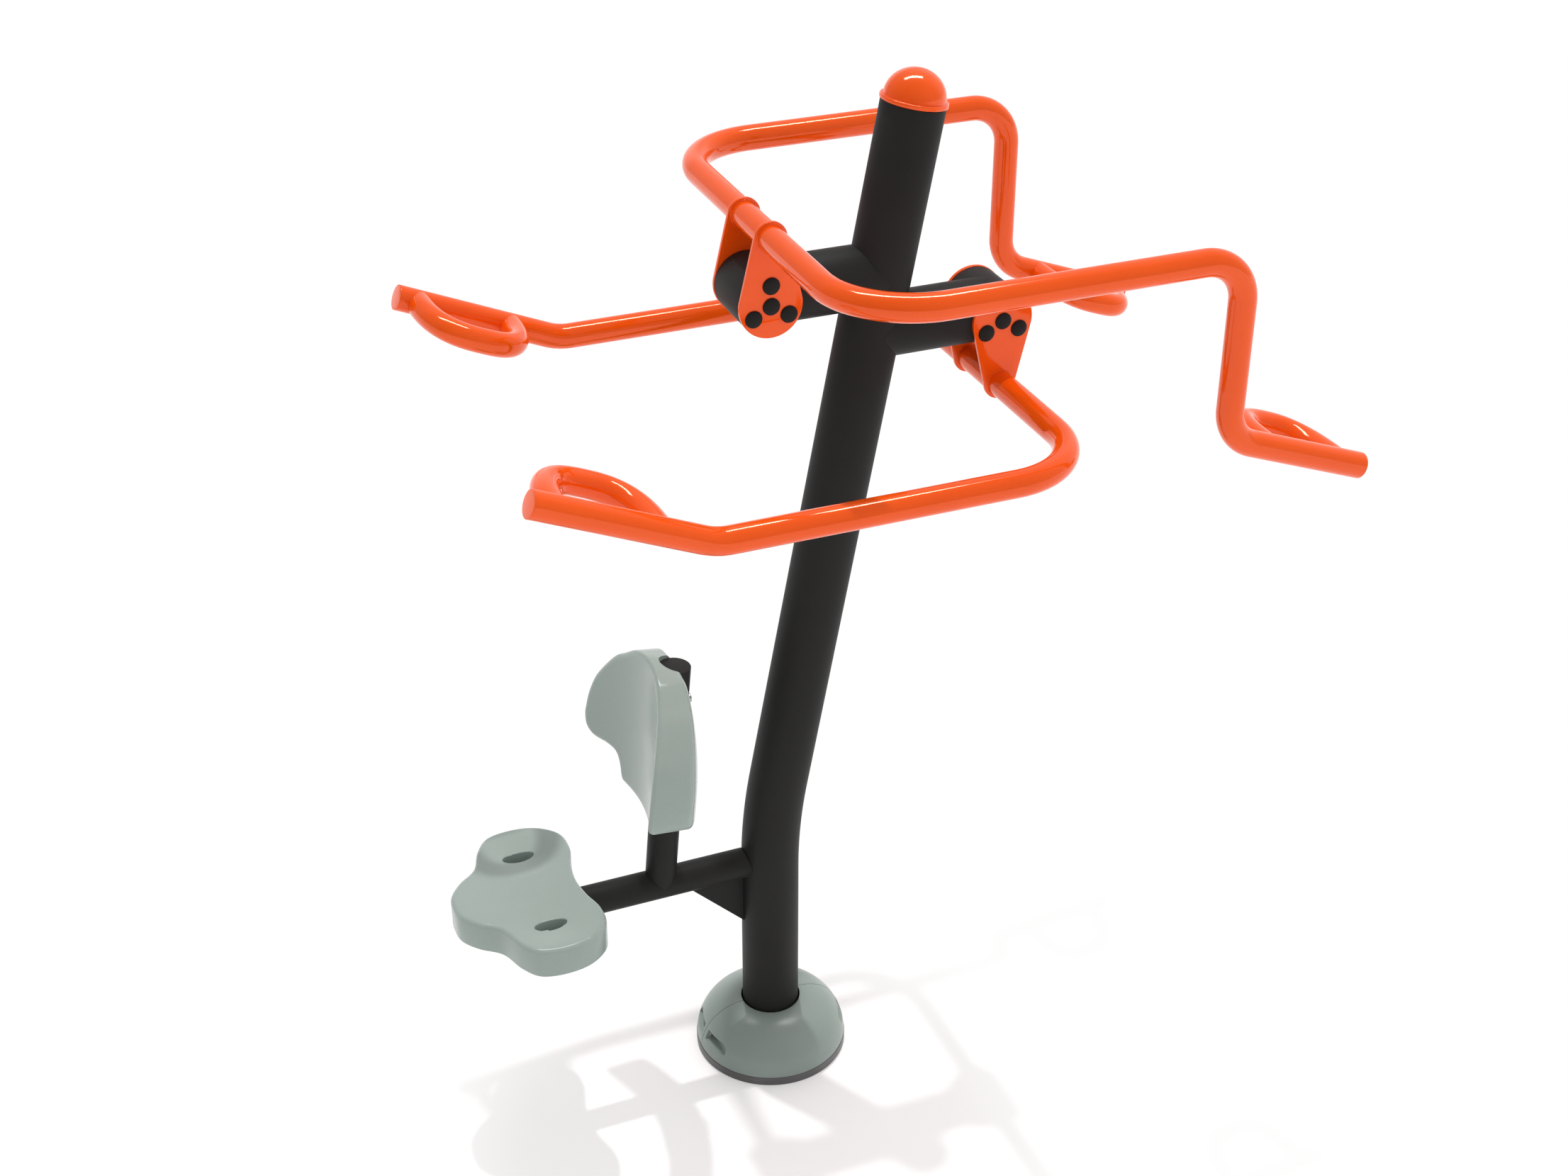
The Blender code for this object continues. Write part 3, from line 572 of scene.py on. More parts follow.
domeTop = cover["low"] + cover["arc"]
reach = cover["rim"] + past
screwX = cover["pocketX"] + cover["screwInset"]
screwZ = (cover["pocketLow"] + cover["pocketHigh"]) / 2
for half, outward in (("Front", -1), ("Rear", 1)):
    shell = turned("cover" + half, domeProfile(0, cover["low"]), cover["sides"], Matrix())
    room = turned("coverRoom", domeProfile(cover["wall"], cover["low"] - past), cover["sides"], Matrix())
    for side in (-1, 1):
        ends = sorted((side * (cover["pocketX"] - cover["boss"]), side * reach))
        deep = sorted((-outward * past, outward * (cover["pocketFar"] + cover["boss"])))
        cut(room, block("boss", (ends[0], deep[0], cover["pocketLow"] - cover["boss"]),
                        (ends[1], deep[1], cover["pocketHigh"] + cover["boss"])))
    away = sorted((outward * cover["seam"], -outward * reach))
    hole = rod("holeCutter", Vector((0, 0, -past)), Vector((0, 0, domeTop + past)), cover["hole"], 128)
    otherHalf = block("otherHalf", (-reach, away[0], -past), (reach, away[1], domeTop + past))
    cut(shell, room, hole, otherHalf)
    for side in (-1, 1):
        ends = sorted((side * cover["pocketX"], side * reach))
        deep = sorted((outward * cover["pocketNear"], outward * cover["pocketFar"]))
        pocket = block("pocket", (ends[0], deep[0], cover["pocketLow"]),
                       (ends[1], deep[1], cover["pocketHigh"]))
        roundEdges(pocket, cover["pocketEdge"], 3, 30)
        spot = Vector((side * screwX, 0, screwZ))
        cut(shell, pocket, rod("bore", spot - yAxis * past / 2, spot + yAxis * past / 2, cover["bore"], 24))
    roundEdges(shell, cover["edge"], 2, 35)
    dress(shell, coverPlastic, "base", "cover_plastic", "base_cover_" + half.lower())


screwLook = {
    "edge": 0.3, "recessFloor": 0.35, "bevel": 0.04,    # shares of the head's height
    "recess": 0.5,                                      # share of its radius
    "crown": (0, 85, 5), "sides": 32,
}


def socketScrew(name, shape, length, matrix):
    # A pan head with a hexagonal recess, its shank along -Z
    head, height, shank = (shape[key] for key in ("head", "height", "shank"))
    edge = height * screwLook["edge"]
    profile = [(shank, -length), (shank, 0), (head, 0)]
    profile += arc(head - edge, height - edge, edge, *screwLook["crown"])
    screw = turned(name, profile, screwLook["sides"], Matrix())
    cut(screw, rod("recess", zAxis * (height * screwLook["recessFloor"]), zAxis * (height + past),
                   head * screwLook["recess"], 6))
    roundEdges(screw, height * screwLook["bevel"], 2, 50)
    settle(screw, matrix)
    return screw


coverScrew = {"head": 0.0058, "height": 0.004, "shank": 0.003}
nutProfile = [(0.0031, 0), (0.0056, 0), (0.0058, 0.0004), (0.0058, 0.0032), (0.0050, 0.004)]
for name, side in (("Left", -1), ("Right", 1)):
    spot = Vector((side * screwX, 0, screwZ))
    seatY = cover["pocketNear"] + fit
    head = socketScrew("coverScrew" + name, coverScrew, 2 * seatY, across(spot - yAxis * seatY, -1))
    nut = turned("coverNut", nutProfile, 6, across(spot + yAxis * seatY, 1))
    dress(joined([head, nut]), zincMetal, "base", "zinc_steel", "cover_screw_" + name.lower())
print("foot and cover done")

# Arms

arm = {
    "radius": 0.0238, "halfWidth": 0.4257, "corner": 0.15, "rise": 0.1206, "sides": 48, "steps": 20,
    "plug": 0.003, "plugEdge": 0.0009, "plugGap": 0.00002,
}
bead = {"radius": 0.0014, "out": 0.35, "sides": (96, 10)}   # weld bead, and how far it sits out of the bar
ear = {"inner": 0.058, "thickness": 0.007, "big": 0.0576, "small": 0.0297, "edge": 0.0007, "sides": 96}
bolt = {"circle": 0.037, "turns": (90, 210, 330), "radius": 0.0155, "height": 0.0060, "shank": 0.005,
        "hole": 0.0053, "depth": 0.014, "lip": 0.0005, "lipHeight": 0.0004, "skirt": 0.0012,
        "domeSteps": 12, "sides": 40}
loop = {"radius": 0.0232, "depth": 0.1310, "power": 2.7, "steps": 72, "denser": 12, "sides": 40,
        "fit": 0.00003}


def loopRoute(side, ends):
    # A flattened half round in XY, with X along the grip
    dense = []
    middle = (ends[0] + ends[1]) / 2
    half = (ends[1] - ends[0]) / 2
    total = loop["denser"] * loop["steps"]
    for step in range(total + 1):
        turn = math.pi * step / total
        way = math.cos(turn)
        along = middle - math.copysign(abs(way) ** (2 / loop["power"]), way) * half
        deep = loop["depth"] * abs(math.sin(turn)) ** (2 / loop["power"])
        dense.append(Vector((along, -side * deep, 0)))
    return evenly(dense, loop["steps"])


def earPlate(name, centre, rise, side):
    # Two short cylinders wrapped by one hull, then holed for the crossbar and the bolts
    letGo()
    middle = Vector((centre.x, side * (ear["inner"] + ear["thickness"] / 2), centre.z))
    flat = (math.radians(90), 0, 0)
    bpy.ops.mesh.primitive_cylinder_add(vertices=ear["sides"], radius=ear["big"], depth=ear["thickness"],
                                        location=middle, rotation=flat)
    plate = bpy.context.object
    plate.name = name
    bpy.ops.object.transform_apply(location=True, rotation=True, scale=True)
    edit()
    bpy.ops.mesh.primitive_cylinder_add(vertices=ear["sides"], radius=ear["small"], depth=ear["thickness"],
                                        location=middle + zAxis * (rise * arm["rise"]), rotation=flat)
    bpy.ops.mesh.select_all(action='SELECT')
    bpy.ops.mesh.convex_hull()
    bpy.ops.mesh.select_all(action='SELECT')
    bpy.ops.mesh.dissolve_limited(angle_limit=math.radians(0.5))
    bpy.ops.object.mode_set(mode='OBJECT')
    roundEdges(plate, ear["edge"], 3, 50)
    way = yAxis * (ear["thickness"] + past)
    barSpot = centre + zAxis * (rise * arm["rise"]) + yAxis * (side * ear["inner"])
    cut(plate, rod("barCutter", barSpot - way, barSpot + way, arm["radius"] + fit, arm["sides"]))
    for spot in boltSpots(centre, side):
        cut(plate, rod("boltCutter", spot - way, spot + way, bolt["hole"], 24))
    return plate


def boltSpots(centre, side):
    # One bolt on the axis and three round it
    out = centre + yAxis * (side * (ear["inner"] + ear["thickness"] + fit))
    spots = [out]
    for degrees in bolt["turns"]:
        turn = math.radians(degrees)
        spots.append(out + Vector((bolt["circle"] * math.cos(turn), 0, bolt["circle"] * math.sin(turn))))
    return spots


boltProfile = [
    (bolt["shank"], -ear["thickness"] - fit - bolt["depth"]), (bolt["shank"], 0),
    (bolt["radius"] - bolt["lip"], 0), (bolt["radius"], bolt["lipHeight"]), (bolt["radius"], bolt["skirt"])]
boltDome = bolt["height"] - bolt["skirt"]
for step in range(1, bolt["domeSteps"]):
    turn = math.pi / 2 * step / bolt["domeSteps"]
    boltProfile.append((bolt["radius"] * math.cos(turn), bolt["skirt"] + boltDome * math.sin(turn)))
cappedBolt = turned("cappedBolt", boltProfile, bolt["sides"], Matrix())


def weldBead(spot):
    letGo()
    middle = arm["radius"] + bead["radius"] * bead["out"]
    bpy.ops.mesh.primitive_torus_add(
        location=spot, rotation=(math.radians(90), 0, 0), major_radius=middle, minor_radius=bead["radius"],
        major_segments=bead["sides"][0], minor_segments=bead["sides"][1])
    bpy.ops.object.transform_apply(location=True, rotation=True, scale=True)
    return bpy.context.object


def makeArm(name, body, rise, half, radii, gripWay, loopEnds):
    centre = pivots[body]
    barZ = centre.z + rise * arm["rise"]
    nearSide = [Vector((x, -arm["halfWidth"], z)) for x, z in half]
    farSide = [Vector((x, arm["halfWidth"], z)) for x, z in half]
    corners = nearSide + [Vector((centre.x, side * arm["halfWidth"], barZ)) for side in (-1, 1)]
    corners += farSide[::-1]
    tube = bentTube(name + "ArmTube", corners, radii + radii[::-1], arm["radius"], arm["sides"],
                    arm["steps"])
    dress(tube, orangeCoat, body, "orange_paint", name + "_arm_tube", degrees=50)
    beads = []
    for sideName, side, end in (("near", -1, nearSide[0]), ("far", 1, farSide[0])):
        tail = "_" + sideName
        plugFrame = Matrix.Translation(end) @ gripWay.to_track_quat('Z', 'Y').to_matrix().to_4x4()
        edge = arm["plugEdge"]
        plugProfile = [(arm["radius"], arm["plugGap"])]
        plugProfile += arc(arm["radius"] - edge, arm["plug"] + fit - edge, edge, 0, 90, 4)
        plug = turned(name + "Plug" + sideName.title(), plugProfile, arm["sides"], plugFrame)
        dress(plug, orangeCoat, body, "orange_paint", name + "_plug" + tail, degrees=50)
        gripTurn = Matrix((-gripWay, yAxis, yAxis.cross(gripWay))).transposed().to_4x4()
        grip = sweptTube(name + "Loop" + sideName.title(), loopRoute(side, loopEnds), loop["radius"],
                         loop["sides"], Matrix.Translation(end) @ gripTurn)
        cut(grip, rod("gripCutter", end + gripWay * past, end - gripWay * (loopEnds[1] + 4 * past),
                      arm["radius"] + loop["fit"], arm["sides"]))
        dress(grip, orangeCoat, body, "orange_paint", name + "_loop" + tail, degrees=50)
        plate = earPlate(name + "Ear" + sideName.title(), centre, rise, side)
        dress(plate, orangeCoat, body, "orange_paint", name + "_ear" + tail)
        for number, spot in enumerate(boltSpots(centre, side), 1):
            tag = str(number)
            screw = copied(cappedBolt, name + "Bolt" + sideName.title() + tag, across(spot, side))
            dress(screw, boltCoat, body, "black_bolts", name + "_bolt" + tail + "_" + tag, degrees=40)
        barSpot = centre + zAxis * (rise * arm["rise"])
        for away in (ear["inner"], ear["inner"] + ear["thickness"]):
            beads.append(weldBead(barSpot + yAxis * (side * away)))
    welds = joined(beads)
    welds.name = name + "Welds"
    dress(welds, orangeCoat, body, "orange_paint", degrees=60)


upper = {"reach": 0.690, "drop": 0.330, "topBend": 0.080, "lowBend": 0.078, "grip": 0.2985,
         "slope": math.radians(20.43), "loop": (0.0485, 0.2090)}
hubCentre = pivots["upper_arm"]
gripWay = Vector((math.cos(upper["slope"]), 0, -math.sin(upper["slope"])))
farX = hubCentre.x + upper["reach"]
topZ = hubCentre.z + arm["rise"]
gripFoot = topZ - upper["drop"]
gripEnd = (farX + upper["grip"] * gripWay.x, gripFoot + upper["grip"] * gripWay.z)
makeArm("upper", "upper_arm", 1, [gripEnd, (farX, gripFoot), (farX, topZ)],
        [upper["lowBend"], upper["topBend"], arm["corner"]], gripWay, upper["loop"])

lower = {"reach": 0.678, "elbow": 0.120, "grip": 0.3202, "slope": math.radians(23.35),
         "loop": (0.0385, 0.2195)}
hubCentre = pivots["lower_arm"]
gripWay = Vector((-math.cos(lower["slope"]), 0, math.sin(lower["slope"])))
farX = hubCentre.x - lower["reach"]
lowZ = hubCentre.z - arm["rise"]
gripEnd = (farX + lower["grip"] * gripWay.x, lowZ + lower["grip"] * gripWay.z)
makeArm("lower", "lower_arm", -1, [gripEnd, (farX, lowZ)], [lower["elbow"], arm["corner"]], gripWay,
        lower["loop"])
bpy.data.objects.remove(cappedBolt)
print("arms done")

# Seat bar, gusset and back post

bar = {"radius": 0.0302, "height": 0.4665, "end": -0.600, "edge": 0.0008, "sides": 64}
barLine = (Vector((bar["end"], 0, bar["height"])), Vector((0, 0, bar["height"])))
seatBar = rod("seatBar", barLine[0], barLine[1], bar["radius"], bar["sides"])
cut(seatBar, rod("postCutter", Vector((0, 0, 0)), bendPoint, post["radius"] + fit, post["sides"]))
roundEdges(seatBar, bar["edge"], 2, 60)
dress(seatBar, charcoalCoat, "base", "charcoal_paint", "seat_bar")

gusset = {"thickness": 0.006, "length": 0.1137, "height": 0.1130, "edge": 0.0006}
gussetX = -post["radius"] - fit
gussetZ = bar["height"] - bar["radius"] - fit
letGo()
bpy.ops.mesh.primitive_circle_add(vertices=3, radius=gusset["length"], fill_type='NGON')
plate = bpy.context.object
plate.name = "seatGusset"
corners = ((gussetX, gussetZ), (gussetX - gusset["length"], gussetZ), (gussetX, gussetZ - gusset["height"]))
for vertex, (x, z) in zip(plate.data.vertices, corners):
    vertex.co = (x, -gusset["thickness"] / 2, z)
edit()
bpy.ops.mesh.select_all(action='SELECT')
push((0, gusset["thickness"], 0))
closeUp()
roundEdges(plate, gusset["edge"], 3, 30)
dress(plate, charcoalCoat, "base", "charcoal_paint", "seat_gusset")

backPost = {"x": -0.2309, "lean": math.radians(5.07), "length": 0.4948, "edge": 0.0012}
backFoot = Matrix.Translation((backPost["x"], 0, bar["height"]))
restFrame = backFoot @ Matrix.Rotation(backPost["lean"], 4, 'Y')
tubeProfile = [(bar["radius"], 0), (bar["radius"], backPost["length"])]
backTube = turned("backPost", tubeProfile, bar["sides"], restFrame)
cut(backTube, rod("barCutter", barLine[0], barLine[1], bar["radius"] + fit, bar["sides"]))
roundEdges(backTube, backPost["edge"], 3, 60)
# The cut leaves scraps beside the bar, so only the part that reaches highest is kept
pick(backTube)
bpy.ops.object.mode_set(mode='EDIT')
bpy.ops.mesh.separate(type='LOOSE')
bpy.ops.object.mode_set(mode='OBJECT')
stems = sorted(bpy.context.selected_objects, key=lambda part: max(v.co.z for v in part.data.vertices))
for scrap in stems[:-1]:
    bpy.data.objects.remove(scrap)
backTube = stems[-1]
backTube.name = "backPost"
dress(backTube, charcoalCoat, "base", "charcoal_paint", "back_post")
print("seat bar and back post done")


# Seat and backrest

def roundCurve(knots, count, denser=24):
    # Evenly spaced points on a closed smooth curve through the knots
    dense = []
    total = len(knots)
    for place in range(total):
        a, b, c, d = (Vector(knots[(place + shift) % total]) for shift in (-1, 0, 1, 2))
        for step in range(denser):
            t = step / denser
            dense.append(0.5 * (2 * b + (c - a) * t + (2 * a - 5 * b + 4 * c - d) * t ** 2
                                + (3 * b - a - 3 * c + d) * t ** 3))
    return evenly(dense + dense[:1], count)[:-1]


padLook = {"topSegments": 10, "lowSegments": 4, "flat": 0.0001}


def pickFlat(slab, level):
    # Selects the large flat face at that height
    bpy.ops.object.mode_set(mode='OBJECT')
    for part in (slab.data.vertices, slab.data.edges, slab.data.polygons):
        part.foreach_set("select", [False] * len(part))
    for face in slab.data.polygons:
        face.select = len(face.vertices) > 4 and abs(face.center.z - level) < padLook["flat"]
    edit('FACE')


def pad(name, outline, thickness, topEdge, lowEdge, centre, rings):
    # A rounded slab in XY, with rings of faces closing in on the centre of both flat sides
    letGo()
    bpy.ops.mesh.primitive_circle_add(vertices=len(outline), radius=1, fill_type='NGON')
    slab = bpy.context.object
    slab.name = name
    for vertex, spot in zip(slab.data.vertices, outline):
        vertex.co = (spot.x, spot.y, 0)
    edit('FACE')
    bpy.ops.mesh.select_all(action='SELECT')
    push((0, 0, thickness))
    bpy.ops.mesh.select_all(action='SELECT')
    bpy.ops.mesh.normals_make_consistent(inside=False)
    edges = ((thickness, topEdge, padLook["topSegments"]), (0, lowEdge, padLook["lowSegments"]))
    for level, width, segments in edges:
        pickFlat(slab, level)
        bpy.ops.mesh.region_to_loop()
        bpy.ops.mesh.bevel(offset_type='OFFSET', offset=width, segments=segments, profile=0.5,
                           affect='EDGES')
    for level in (thickness, 0):
        pickFlat(slab, level)
        for left in range(rings, 1, -1):
            share = (left - 1) / left
            push((0, 0, 0))
            bpy.ops.transform.resize(value=(share, share, 1), center_override=(centre[0], centre[1], level))
        bpy.ops.mesh.merge(type='CENTER')
    turnOut(slab)
    return slab


def easeBetween(value, low, high):
    share = min(1.0, max(0.0, (value - low) / (high - low)))
    return share * share * (3 - 2 * share)


seatHalf = [(-0.400, 0), (-0.394, 0.05), (-0.381, 0.10), (-0.387, 0.15), (-0.425, 0.185), (-0.475, 0.196),
            (-0.525, 0.187), (-0.553, 0.153), (-0.575, 0.10), (-0.612, 0.068), (-0.636, 0.035), (-0.641, 0)]
seatShape = {
    "low": 0.470, "thickness": 0.061, "topEdge": 0.0095, "lowEdge": 0.003, "centre": (-0.500, 0),
    "points": 240, "rings": 30, "slotX": -0.483, "slotY": 0.1105, "dishDepth": 0.0095, "dishReach": 0.085,
    "slotHalf": 0.0312, "slotWide": 0.0143, "slotFloor": 0.493, "slotEdge": 0.0018, "slotSides": 64,
    "rimSlack": 0.004, "rimRise": 0.01,     # how near to the slot's rim an edge has to be, to be rounded
}


def onRim(point, spot):
    along = (point.x - spot.x) / seatShape["slotHalf"]
    aside = (point.y - spot.y) / seatShape["slotWide"]
    nearRim = abs(math.hypot(along, aside) - 1) < seatShape["rimSlack"]
    return nearRim and point.z > seatShape["slotFloor"] + seatShape["rimRise"]


seatKnots = seatHalf + [(x, -y) for x, y in seatHalf[-2:0:-1]]
seatPad = pad("seat", roundCurve(seatKnots, seatShape["points"]), seatShape["thickness"],
              seatShape["topEdge"], seatShape["lowEdge"], seatShape["centre"], seatShape["rings"])
for vertex in seatPad.data.vertices:
    if vertex.co.z > seatShape["thickness"] - seatShape["topEdge"]:
        for side in (-1, 1):
            away = math.hypot(vertex.co.x - seatShape["slotX"], vertex.co.y - side * seatShape["slotY"])
            vertex.co.z -= seatShape["dishDepth"] * (1 - easeBetween(away, 0, seatShape["dishReach"]))
settle(seatPad, Matrix.Translation((0, 0, seatShape["low"])))
seatTop = seatShape["low"] + seatShape["thickness"]
for side in (-1, 1):
    spot = Vector((seatShape["slotX"], side * seatShape["slotY"], 0))
    slot = rod("slot", spot + zAxis * seatShape["slotFloor"], spot + zAxis * (seatTop + past),
               seatShape["slotHalf"], seatShape["slotSides"])
    for vertex in slot.data.vertices:
        vertex.co.y = spot.y + (vertex.co.y - spot.y) * seatShape["slotWide"] / seatShape["slotHalf"]
    cut(seatPad, slot)
    for edge in seatPad.data.edges:
        ends = [seatPad.data.vertices[number].co for number in edge.vertices]
        flat = abs(ends[0].z - ends[1].z) < seatShape["rimRise"]
        edge.select = flat and all(onRim(end, spot) for end in ends)
    pick(seatPad)
    for part in (seatPad.data.vertices, seatPad.data.polygons):
        part.foreach_set("select", [False] * len(part))
    for edge in seatPad.data.edges:
        if edge.select:
            for number in edge.vertices:
                seatPad.data.vertices[number].select = True
    edit('EDGE')
    bpy.ops.mesh.bevel(offset_type='OFFSET', offset=seatShape["slotEdge"], segments=4, profile=0.5,
                       affect='EDGES')
    bpy.ops.object.mode_set(mode='OBJECT')
cut(seatPad, rod("barCutter", barLine[0] - xAxis * fit, barLine[1], bar["radius"] + fit, bar["sides"]))
dress(seatPad, seatPlastic, "base", "seat_plastic", "seat", degrees=40)

restHalf = [(0, 0.512), (0.035, 0.509), (0.070, 0.4965), (0.1047, 0.472), (0.128, 0.4545), (0.1525, 0.424),
            (0.1755, 0.387), (0.1895, 0.346), (0.1955, 0.311), (0.197, 0.290), (0.1925, 0.268),
            (0.181, 0.2545), (0.165, 0.249), (0.135, 0.250), (0.112, 0.247), (0.102, 0.238), (0.095, 0.222),
            (0.091, 0.208), (0.084, 0.198), (0.070, 0.195), (0, 0.195)]
restShape = {
    "front": 0.053, "rear": 0.034, "sweep": 1.47, "frontEdge": 0.013, "rearEdge": 0.010, "cutEdge": 0.0015,
    "centre": (0, 0.34), "points": 300, "rings": 26, "recessFrom": 0.29, "recessCurve": 0.68,
    "rearDrop": 0.0105, "dropFrom": 0.43, "dropTo": 0.51, "dropInner": 0.03, "dropOuter": 0.07,
    "dropKept": 0.35,
}
restKnots = restHalf + [(-v, w) for v, w in restHalf[-2:0:-1]]
restThickness = restShape["front"] + restShape["rear"]
backrest = pad("backrest", roundCurve(restKnots, restShape["points"]), restThickness,
               restShape["frontEdge"], restShape["rearEdge"], restShape["centre"], restShape["rings"])
for vertex in backrest.data.vertices:
    # The slab's depth turns into -X, both sides sweep forward, and the rear's top is drawn in and down
    v, w, depth = vertex.co
    rearward = 1 - depth / restThickness
    drawn = restShape["recessCurve"] * max(0, w - restShape["recessFrom"]) ** 2 * rearward
    outward = easeBetween(abs(v), restShape["dropInner"], restShape["dropOuter"])
    upward = easeBetween(w, restShape["dropFrom"], restShape["dropTo"])
    drop = restShape["rearDrop"] * upward * rearward * (1 - (1 - restShape["dropKept"]) * outward)
    vertex.co = (restShape["rear"] - depth - drawn - restShape["sweep"] * v ** 2, v, w - drop)
settle(backrest, restFrame)
turnOut(backrest)
channelProfile = [(bar["radius"] + fit, 0), (bar["radius"] + fit, backPost["length"] + 2 * past)]
cut(backrest, turned("channel", channelProfile, bar["sides"], restFrame))
restBolt = {"low": 0.250, "high": 0.420, "head": 0.009, "height": 0.005, "shank": 0.004, "depth": 0.014}
boltPlaces = {}
tip = -2 * bar["radius"] - restBolt["depth"] - 2 * fit
roomProfile = [(restBolt["shank"] + fit, tip), (restBolt["shank"] + fit, -fit / 2),
               (restBolt["head"] + fit, -fit / 2), (restBolt["head"] + fit, past)]
for name in ("low", "high"):
    onTube = Matrix.Translation((bar["radius"] + fit, 0, restBolt[name]))
    boltPlaces[name] = restFrame @ onTube @ Matrix.Rotation(math.pi / 2, 4, 'Y')
    cut(backrest, turned("boltRoom", roomProfile, 32, boltPlaces[name]))
roundEdges(backrest, restShape["cutEdge"], 3, 40)
dress(backrest, seatPlastic, "base", "seat_plastic", "backrest", degrees=40)
print("seat and backrest done")

# Strap and fixings

# The strap is the frame's own solid with its flat faces joined and its edges rounded
strapEdge = 0.0005
strap = nodes["seat_strap"].copy()
strap.data = nodes["seat_strap"].data.copy()
bpy.context.scene.collection.objects.link(strap)
strap.name = "seatStrap"
strap.parent = None
for key in list(strap.keys()):
    del strap[key]
strap.matrix_world = Matrix()
pick(strap)
edit()
bpy.ops.mesh.select_all(action='SELECT')
bpy.ops.mesh.remove_doubles(threshold=same)
bpy.ops.mesh.dissolve_limited(angle_limit=math.radians(1))
bpy.ops.object.mode_set(mode='OBJECT')
roundEdges(strap, strapEdge, 2, 30)
dress(strap, charcoalCoat, "base", "charcoal_paint", "seat_strap")

seatScrew = {"head": 0.008, "height": 0.005, "shank": 0.004}
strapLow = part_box("seat_screw_near")[0].z + seatScrew["height"]
for name, side in (("Near", -1), ("Far", 1)):
    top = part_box("seat_screw_" + name.lower())[1].z
    spot = Vector((seatShape["slotX"], side * seatShape["slotY"], strapLow))
    screw = socketScrew("seatScrew" + name, seatScrew, top - strapLow,
                        Matrix.Translation(spot) @ Matrix.Rotation(math.pi, 4, 'X'))
    dress(screw, zincMetal, "base", "zinc_steel", "seat_screw_" + name.lower())

restBoltLength = 2 * bar["radius"] + fit + restBolt["depth"]
for name in ("low", "high"):
    screw = socketScrew("backrestBolt" + name.title(), restBolt, restBoltLength, boltPlaces[name])
    dress(screw, zincMetal, "base", "zinc_steel", "backrest_bolt_" + name)
print("fixings done")

# Floor, light and camera

studio = {
    "floorSize": 60.0, "floorDrop": 0.0002,
    "floorColour": grey(0.84), "floorShown": (1.0, 0.972, 0.965, 1.0),          # to the light and to the eye
    "floorGleam": 0.5,              # share of the shown white that gloss mirrors
    "shadeCentre": (-0.16, -0.26, 0.0), "shadeNear": 0.40, "shadeFar": 0.71,    # where the shadow fades out
    "shadeWhite": (0.28, 0.92),     # share of plain white at the near and the far distance
    "sunPower": 1.30, "sunAngle": math.radians(1.4), "toSun": (0.057, 0.212, 0.975),
    "stripGlow": 27.0, "stripLong": 4.66, "stripWide": 0.82, "stripDistance": 6.0,
    "toStrip": (0.075, 0.250, 0.965), "stripAim": (0.2, 0, 1.6),
    "fill": 0.42,                   # added to the sky's light, but left out of what gloss mirrors
    "sky": ((0.35, 0.37), (0.50, 0.52), (0.70, 0.58), (0.82, 0.70), (0.91, 0.52), (0.98, 1.0)),
    "eastward": 0.42,               # how much brighter the sky is towards +X
}
letGo()
bpy.ops.mesh.primitive_plane_add(size=studio["floorSize"], location=(0, 0, -studio["floorDrop"]))
floor = bpy.context.object
floor.name = "studioFloor"
floorPaint = bpy.data.materials.new("floorPaint")
tree = Nodes(floorPaint)
rays = "ShaderNodeLightPath"
seen = tree.add(rays, {}, {}, "Is Camera Ray")
mirrored = tree.add(rays, {}, {}, "Is Glossy Ray")
through = tree.add(rays, {}, {}, "Is Transmission Ray")
shown = seen + through + mirrored * studio["floorGleam"]
plain = tree.add("ShaderNodeBsdfDiffuse", {}, {
    "Color": tree.blend(shown, studio["floorColour"], studio["floorShown"])})
white = tree.add("ShaderNodeEmission", {}, {"Color": grey(1.0), "Strength": 1.0})
distance = {0: tree.place(), 1: studio["shadeCentre"]}
away = tree.add("ShaderNodeVectorMath", {"operation": 'DISTANCE'}, distance, "Value")
faded = tree.add("ShaderNodeMapRange", {"interpolation_type": 'SMOOTHSTEP'}, {
    "Value": away, "From Min": studio["shadeNear"], "From Max": studio["shadeFar"],
    "To Min": studio["shadeWhite"][0], "To Max": studio["shadeWhite"][1]})
tree.finish(tree.add("ShaderNodeMixShader", {}, {0: shown * faded, 1: plain, 2: white}))
floor.data.materials.append(floorPaint)

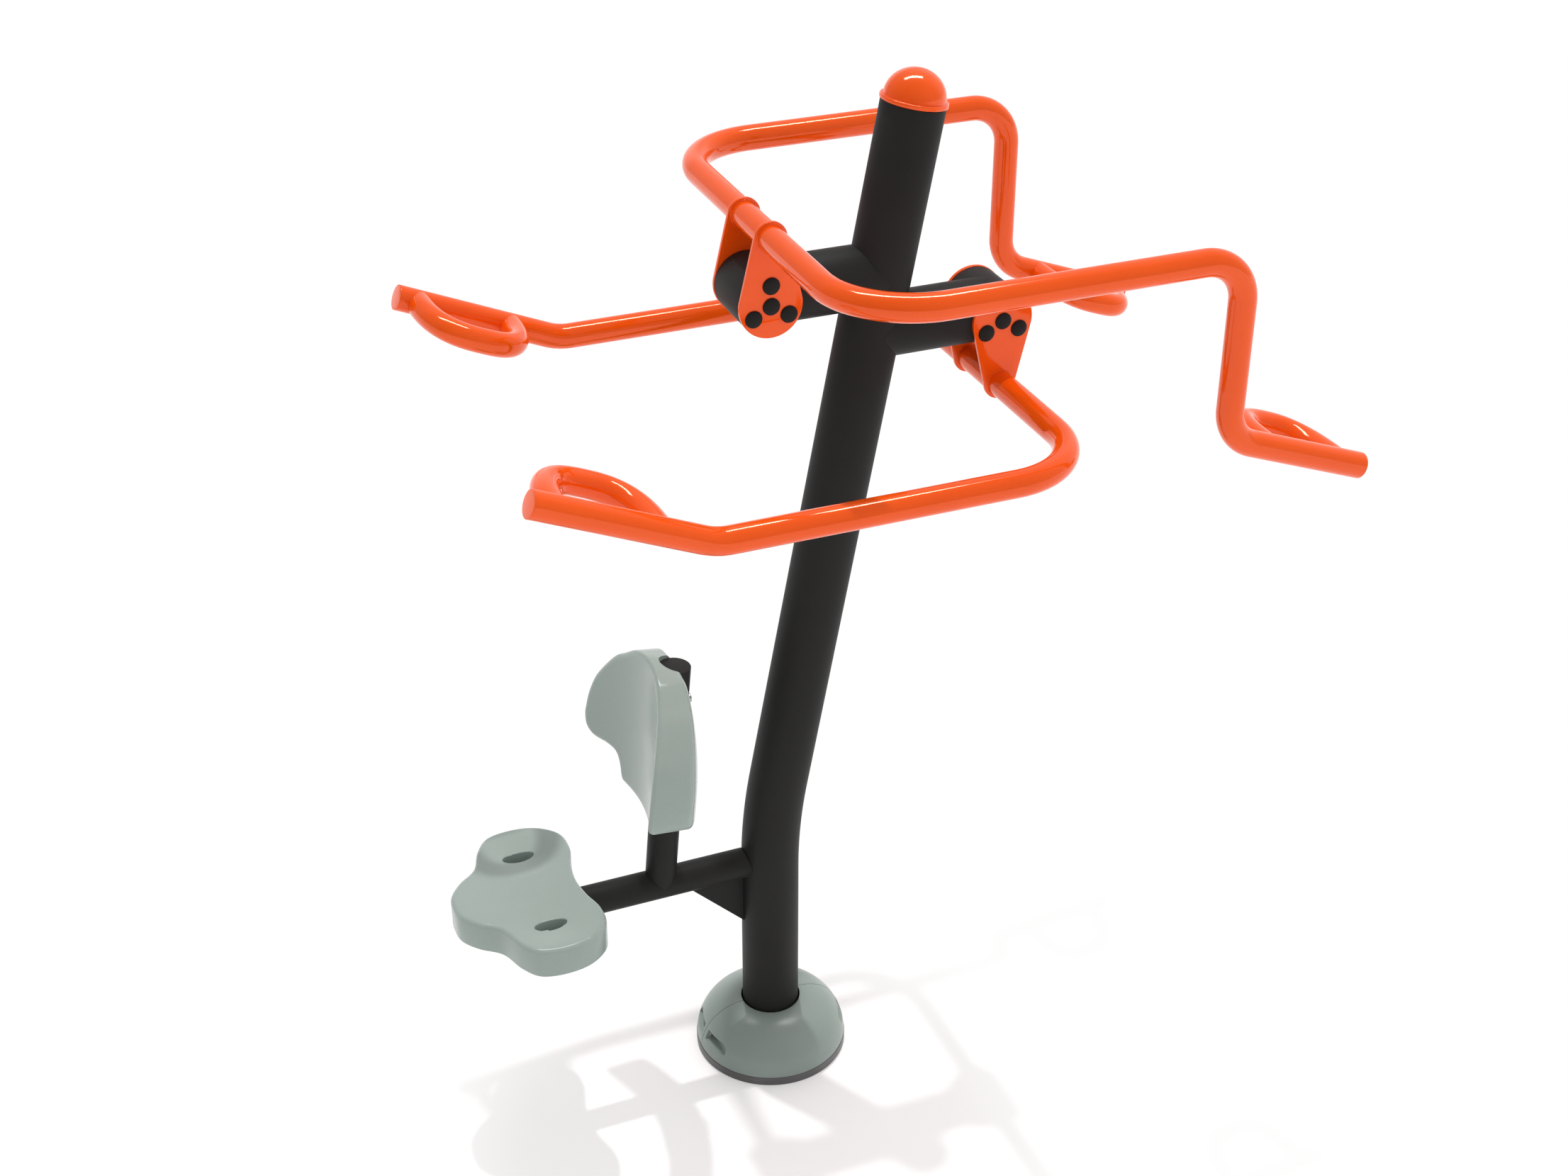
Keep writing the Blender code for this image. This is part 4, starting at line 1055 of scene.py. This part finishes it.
world = bpy.data.worlds.new("studioSky")
bpy.context.scene.world = world
tree = Nodes(world)
seen = tree.add(rays, {}, {}, "Is Camera Ray")
mirrored = tree.add(rays, {}, {}, "Is Glossy Ray")
through = tree.add(rays, {}, {}, "Is Transmission Ray")
way = tree.add("ShaderNodeTexCoord", {}, {}, "Generated")
northward = tree.add("ShaderNodeSeparateXYZ", {}, {"Vector": way}, "Y")
eastward = tree.add("ShaderNodeSeparateXYZ", {}, {"Vector": way}, "X")
level = tree.ramp(northward * 0.5 + 0.5, [(place, grey(value)) for place, value in studio["sky"]])
shown = seen + through
light = (level + (1 - mirrored) * studio["fill"]) * (1 + eastward * studio["eastward"])
strength = shown + (1 - shown) * light
sky = tree.add("ShaderNodeBackground", {}, {"Color": grey(1.0), "Strength": strength})
tree.add("ShaderNodeOutputWorld", {}, {"Surface": sky})

toSun = Vector(studio["toSun"]).normalized()
sunLamp = bpy.data.lights.new("sunLamp", 'SUN')
sunLamp.energy = studio["sunPower"]
sunLamp.angle = studio["sunAngle"]
sun = bpy.data.objects.new("sunLamp", sunLamp)
sun.rotation_euler = toSun.to_track_quat('Z', 'Y').to_euler()
sun.visible_glossy = False
bpy.context.scene.collection.objects.link(sun)

stripLamp = bpy.data.lights.new("stripLamp", 'AREA')
stripLamp.shape = 'RECTANGLE'
stripLamp.size = studio["stripLong"]
stripLamp.size_y = studio["stripWide"]
stripLamp.energy = studio["stripGlow"] * math.pi * studio["stripLong"] * studio["stripWide"]
strip = bpy.data.objects.new("stripLamp", stripLamp)
toStrip = Vector(studio["toStrip"]).normalized()
stripPlace = Vector(studio["stripAim"]) + toStrip * studio["stripDistance"]
stripTurn = toStrip.to_track_quat('Z', 'Y').to_matrix().to_4x4()
strip.matrix_world = Matrix.Translation(stripPlace) @ stripTurn
strip.visible_diffuse = False
bpy.context.scene.collection.objects.link(strip)

view = {"place": (-1.273, -3.225, 3.120), "down": math.radians(30.416), "turn": math.radians(-22.006),
        "lens": 50.0, "sensor": 36.0, "far": 200.0}
lens = bpy.data.cameras.new("photoView")
lens.lens = view["lens"]
lens.sensor_width = view["sensor"]
lens.clip_end = view["far"]
camera = bpy.data.objects.new("photoView", lens)
camera.location = view["place"]
camera.rotation_euler = (math.pi / 2 - view["down"], 0, view["turn"])
bpy.context.scene.collection.objects.link(camera)
bpy.context.scene.camera = camera
bpy.context.scene.view_settings.view_transform = 'Standard'
print("studio done")
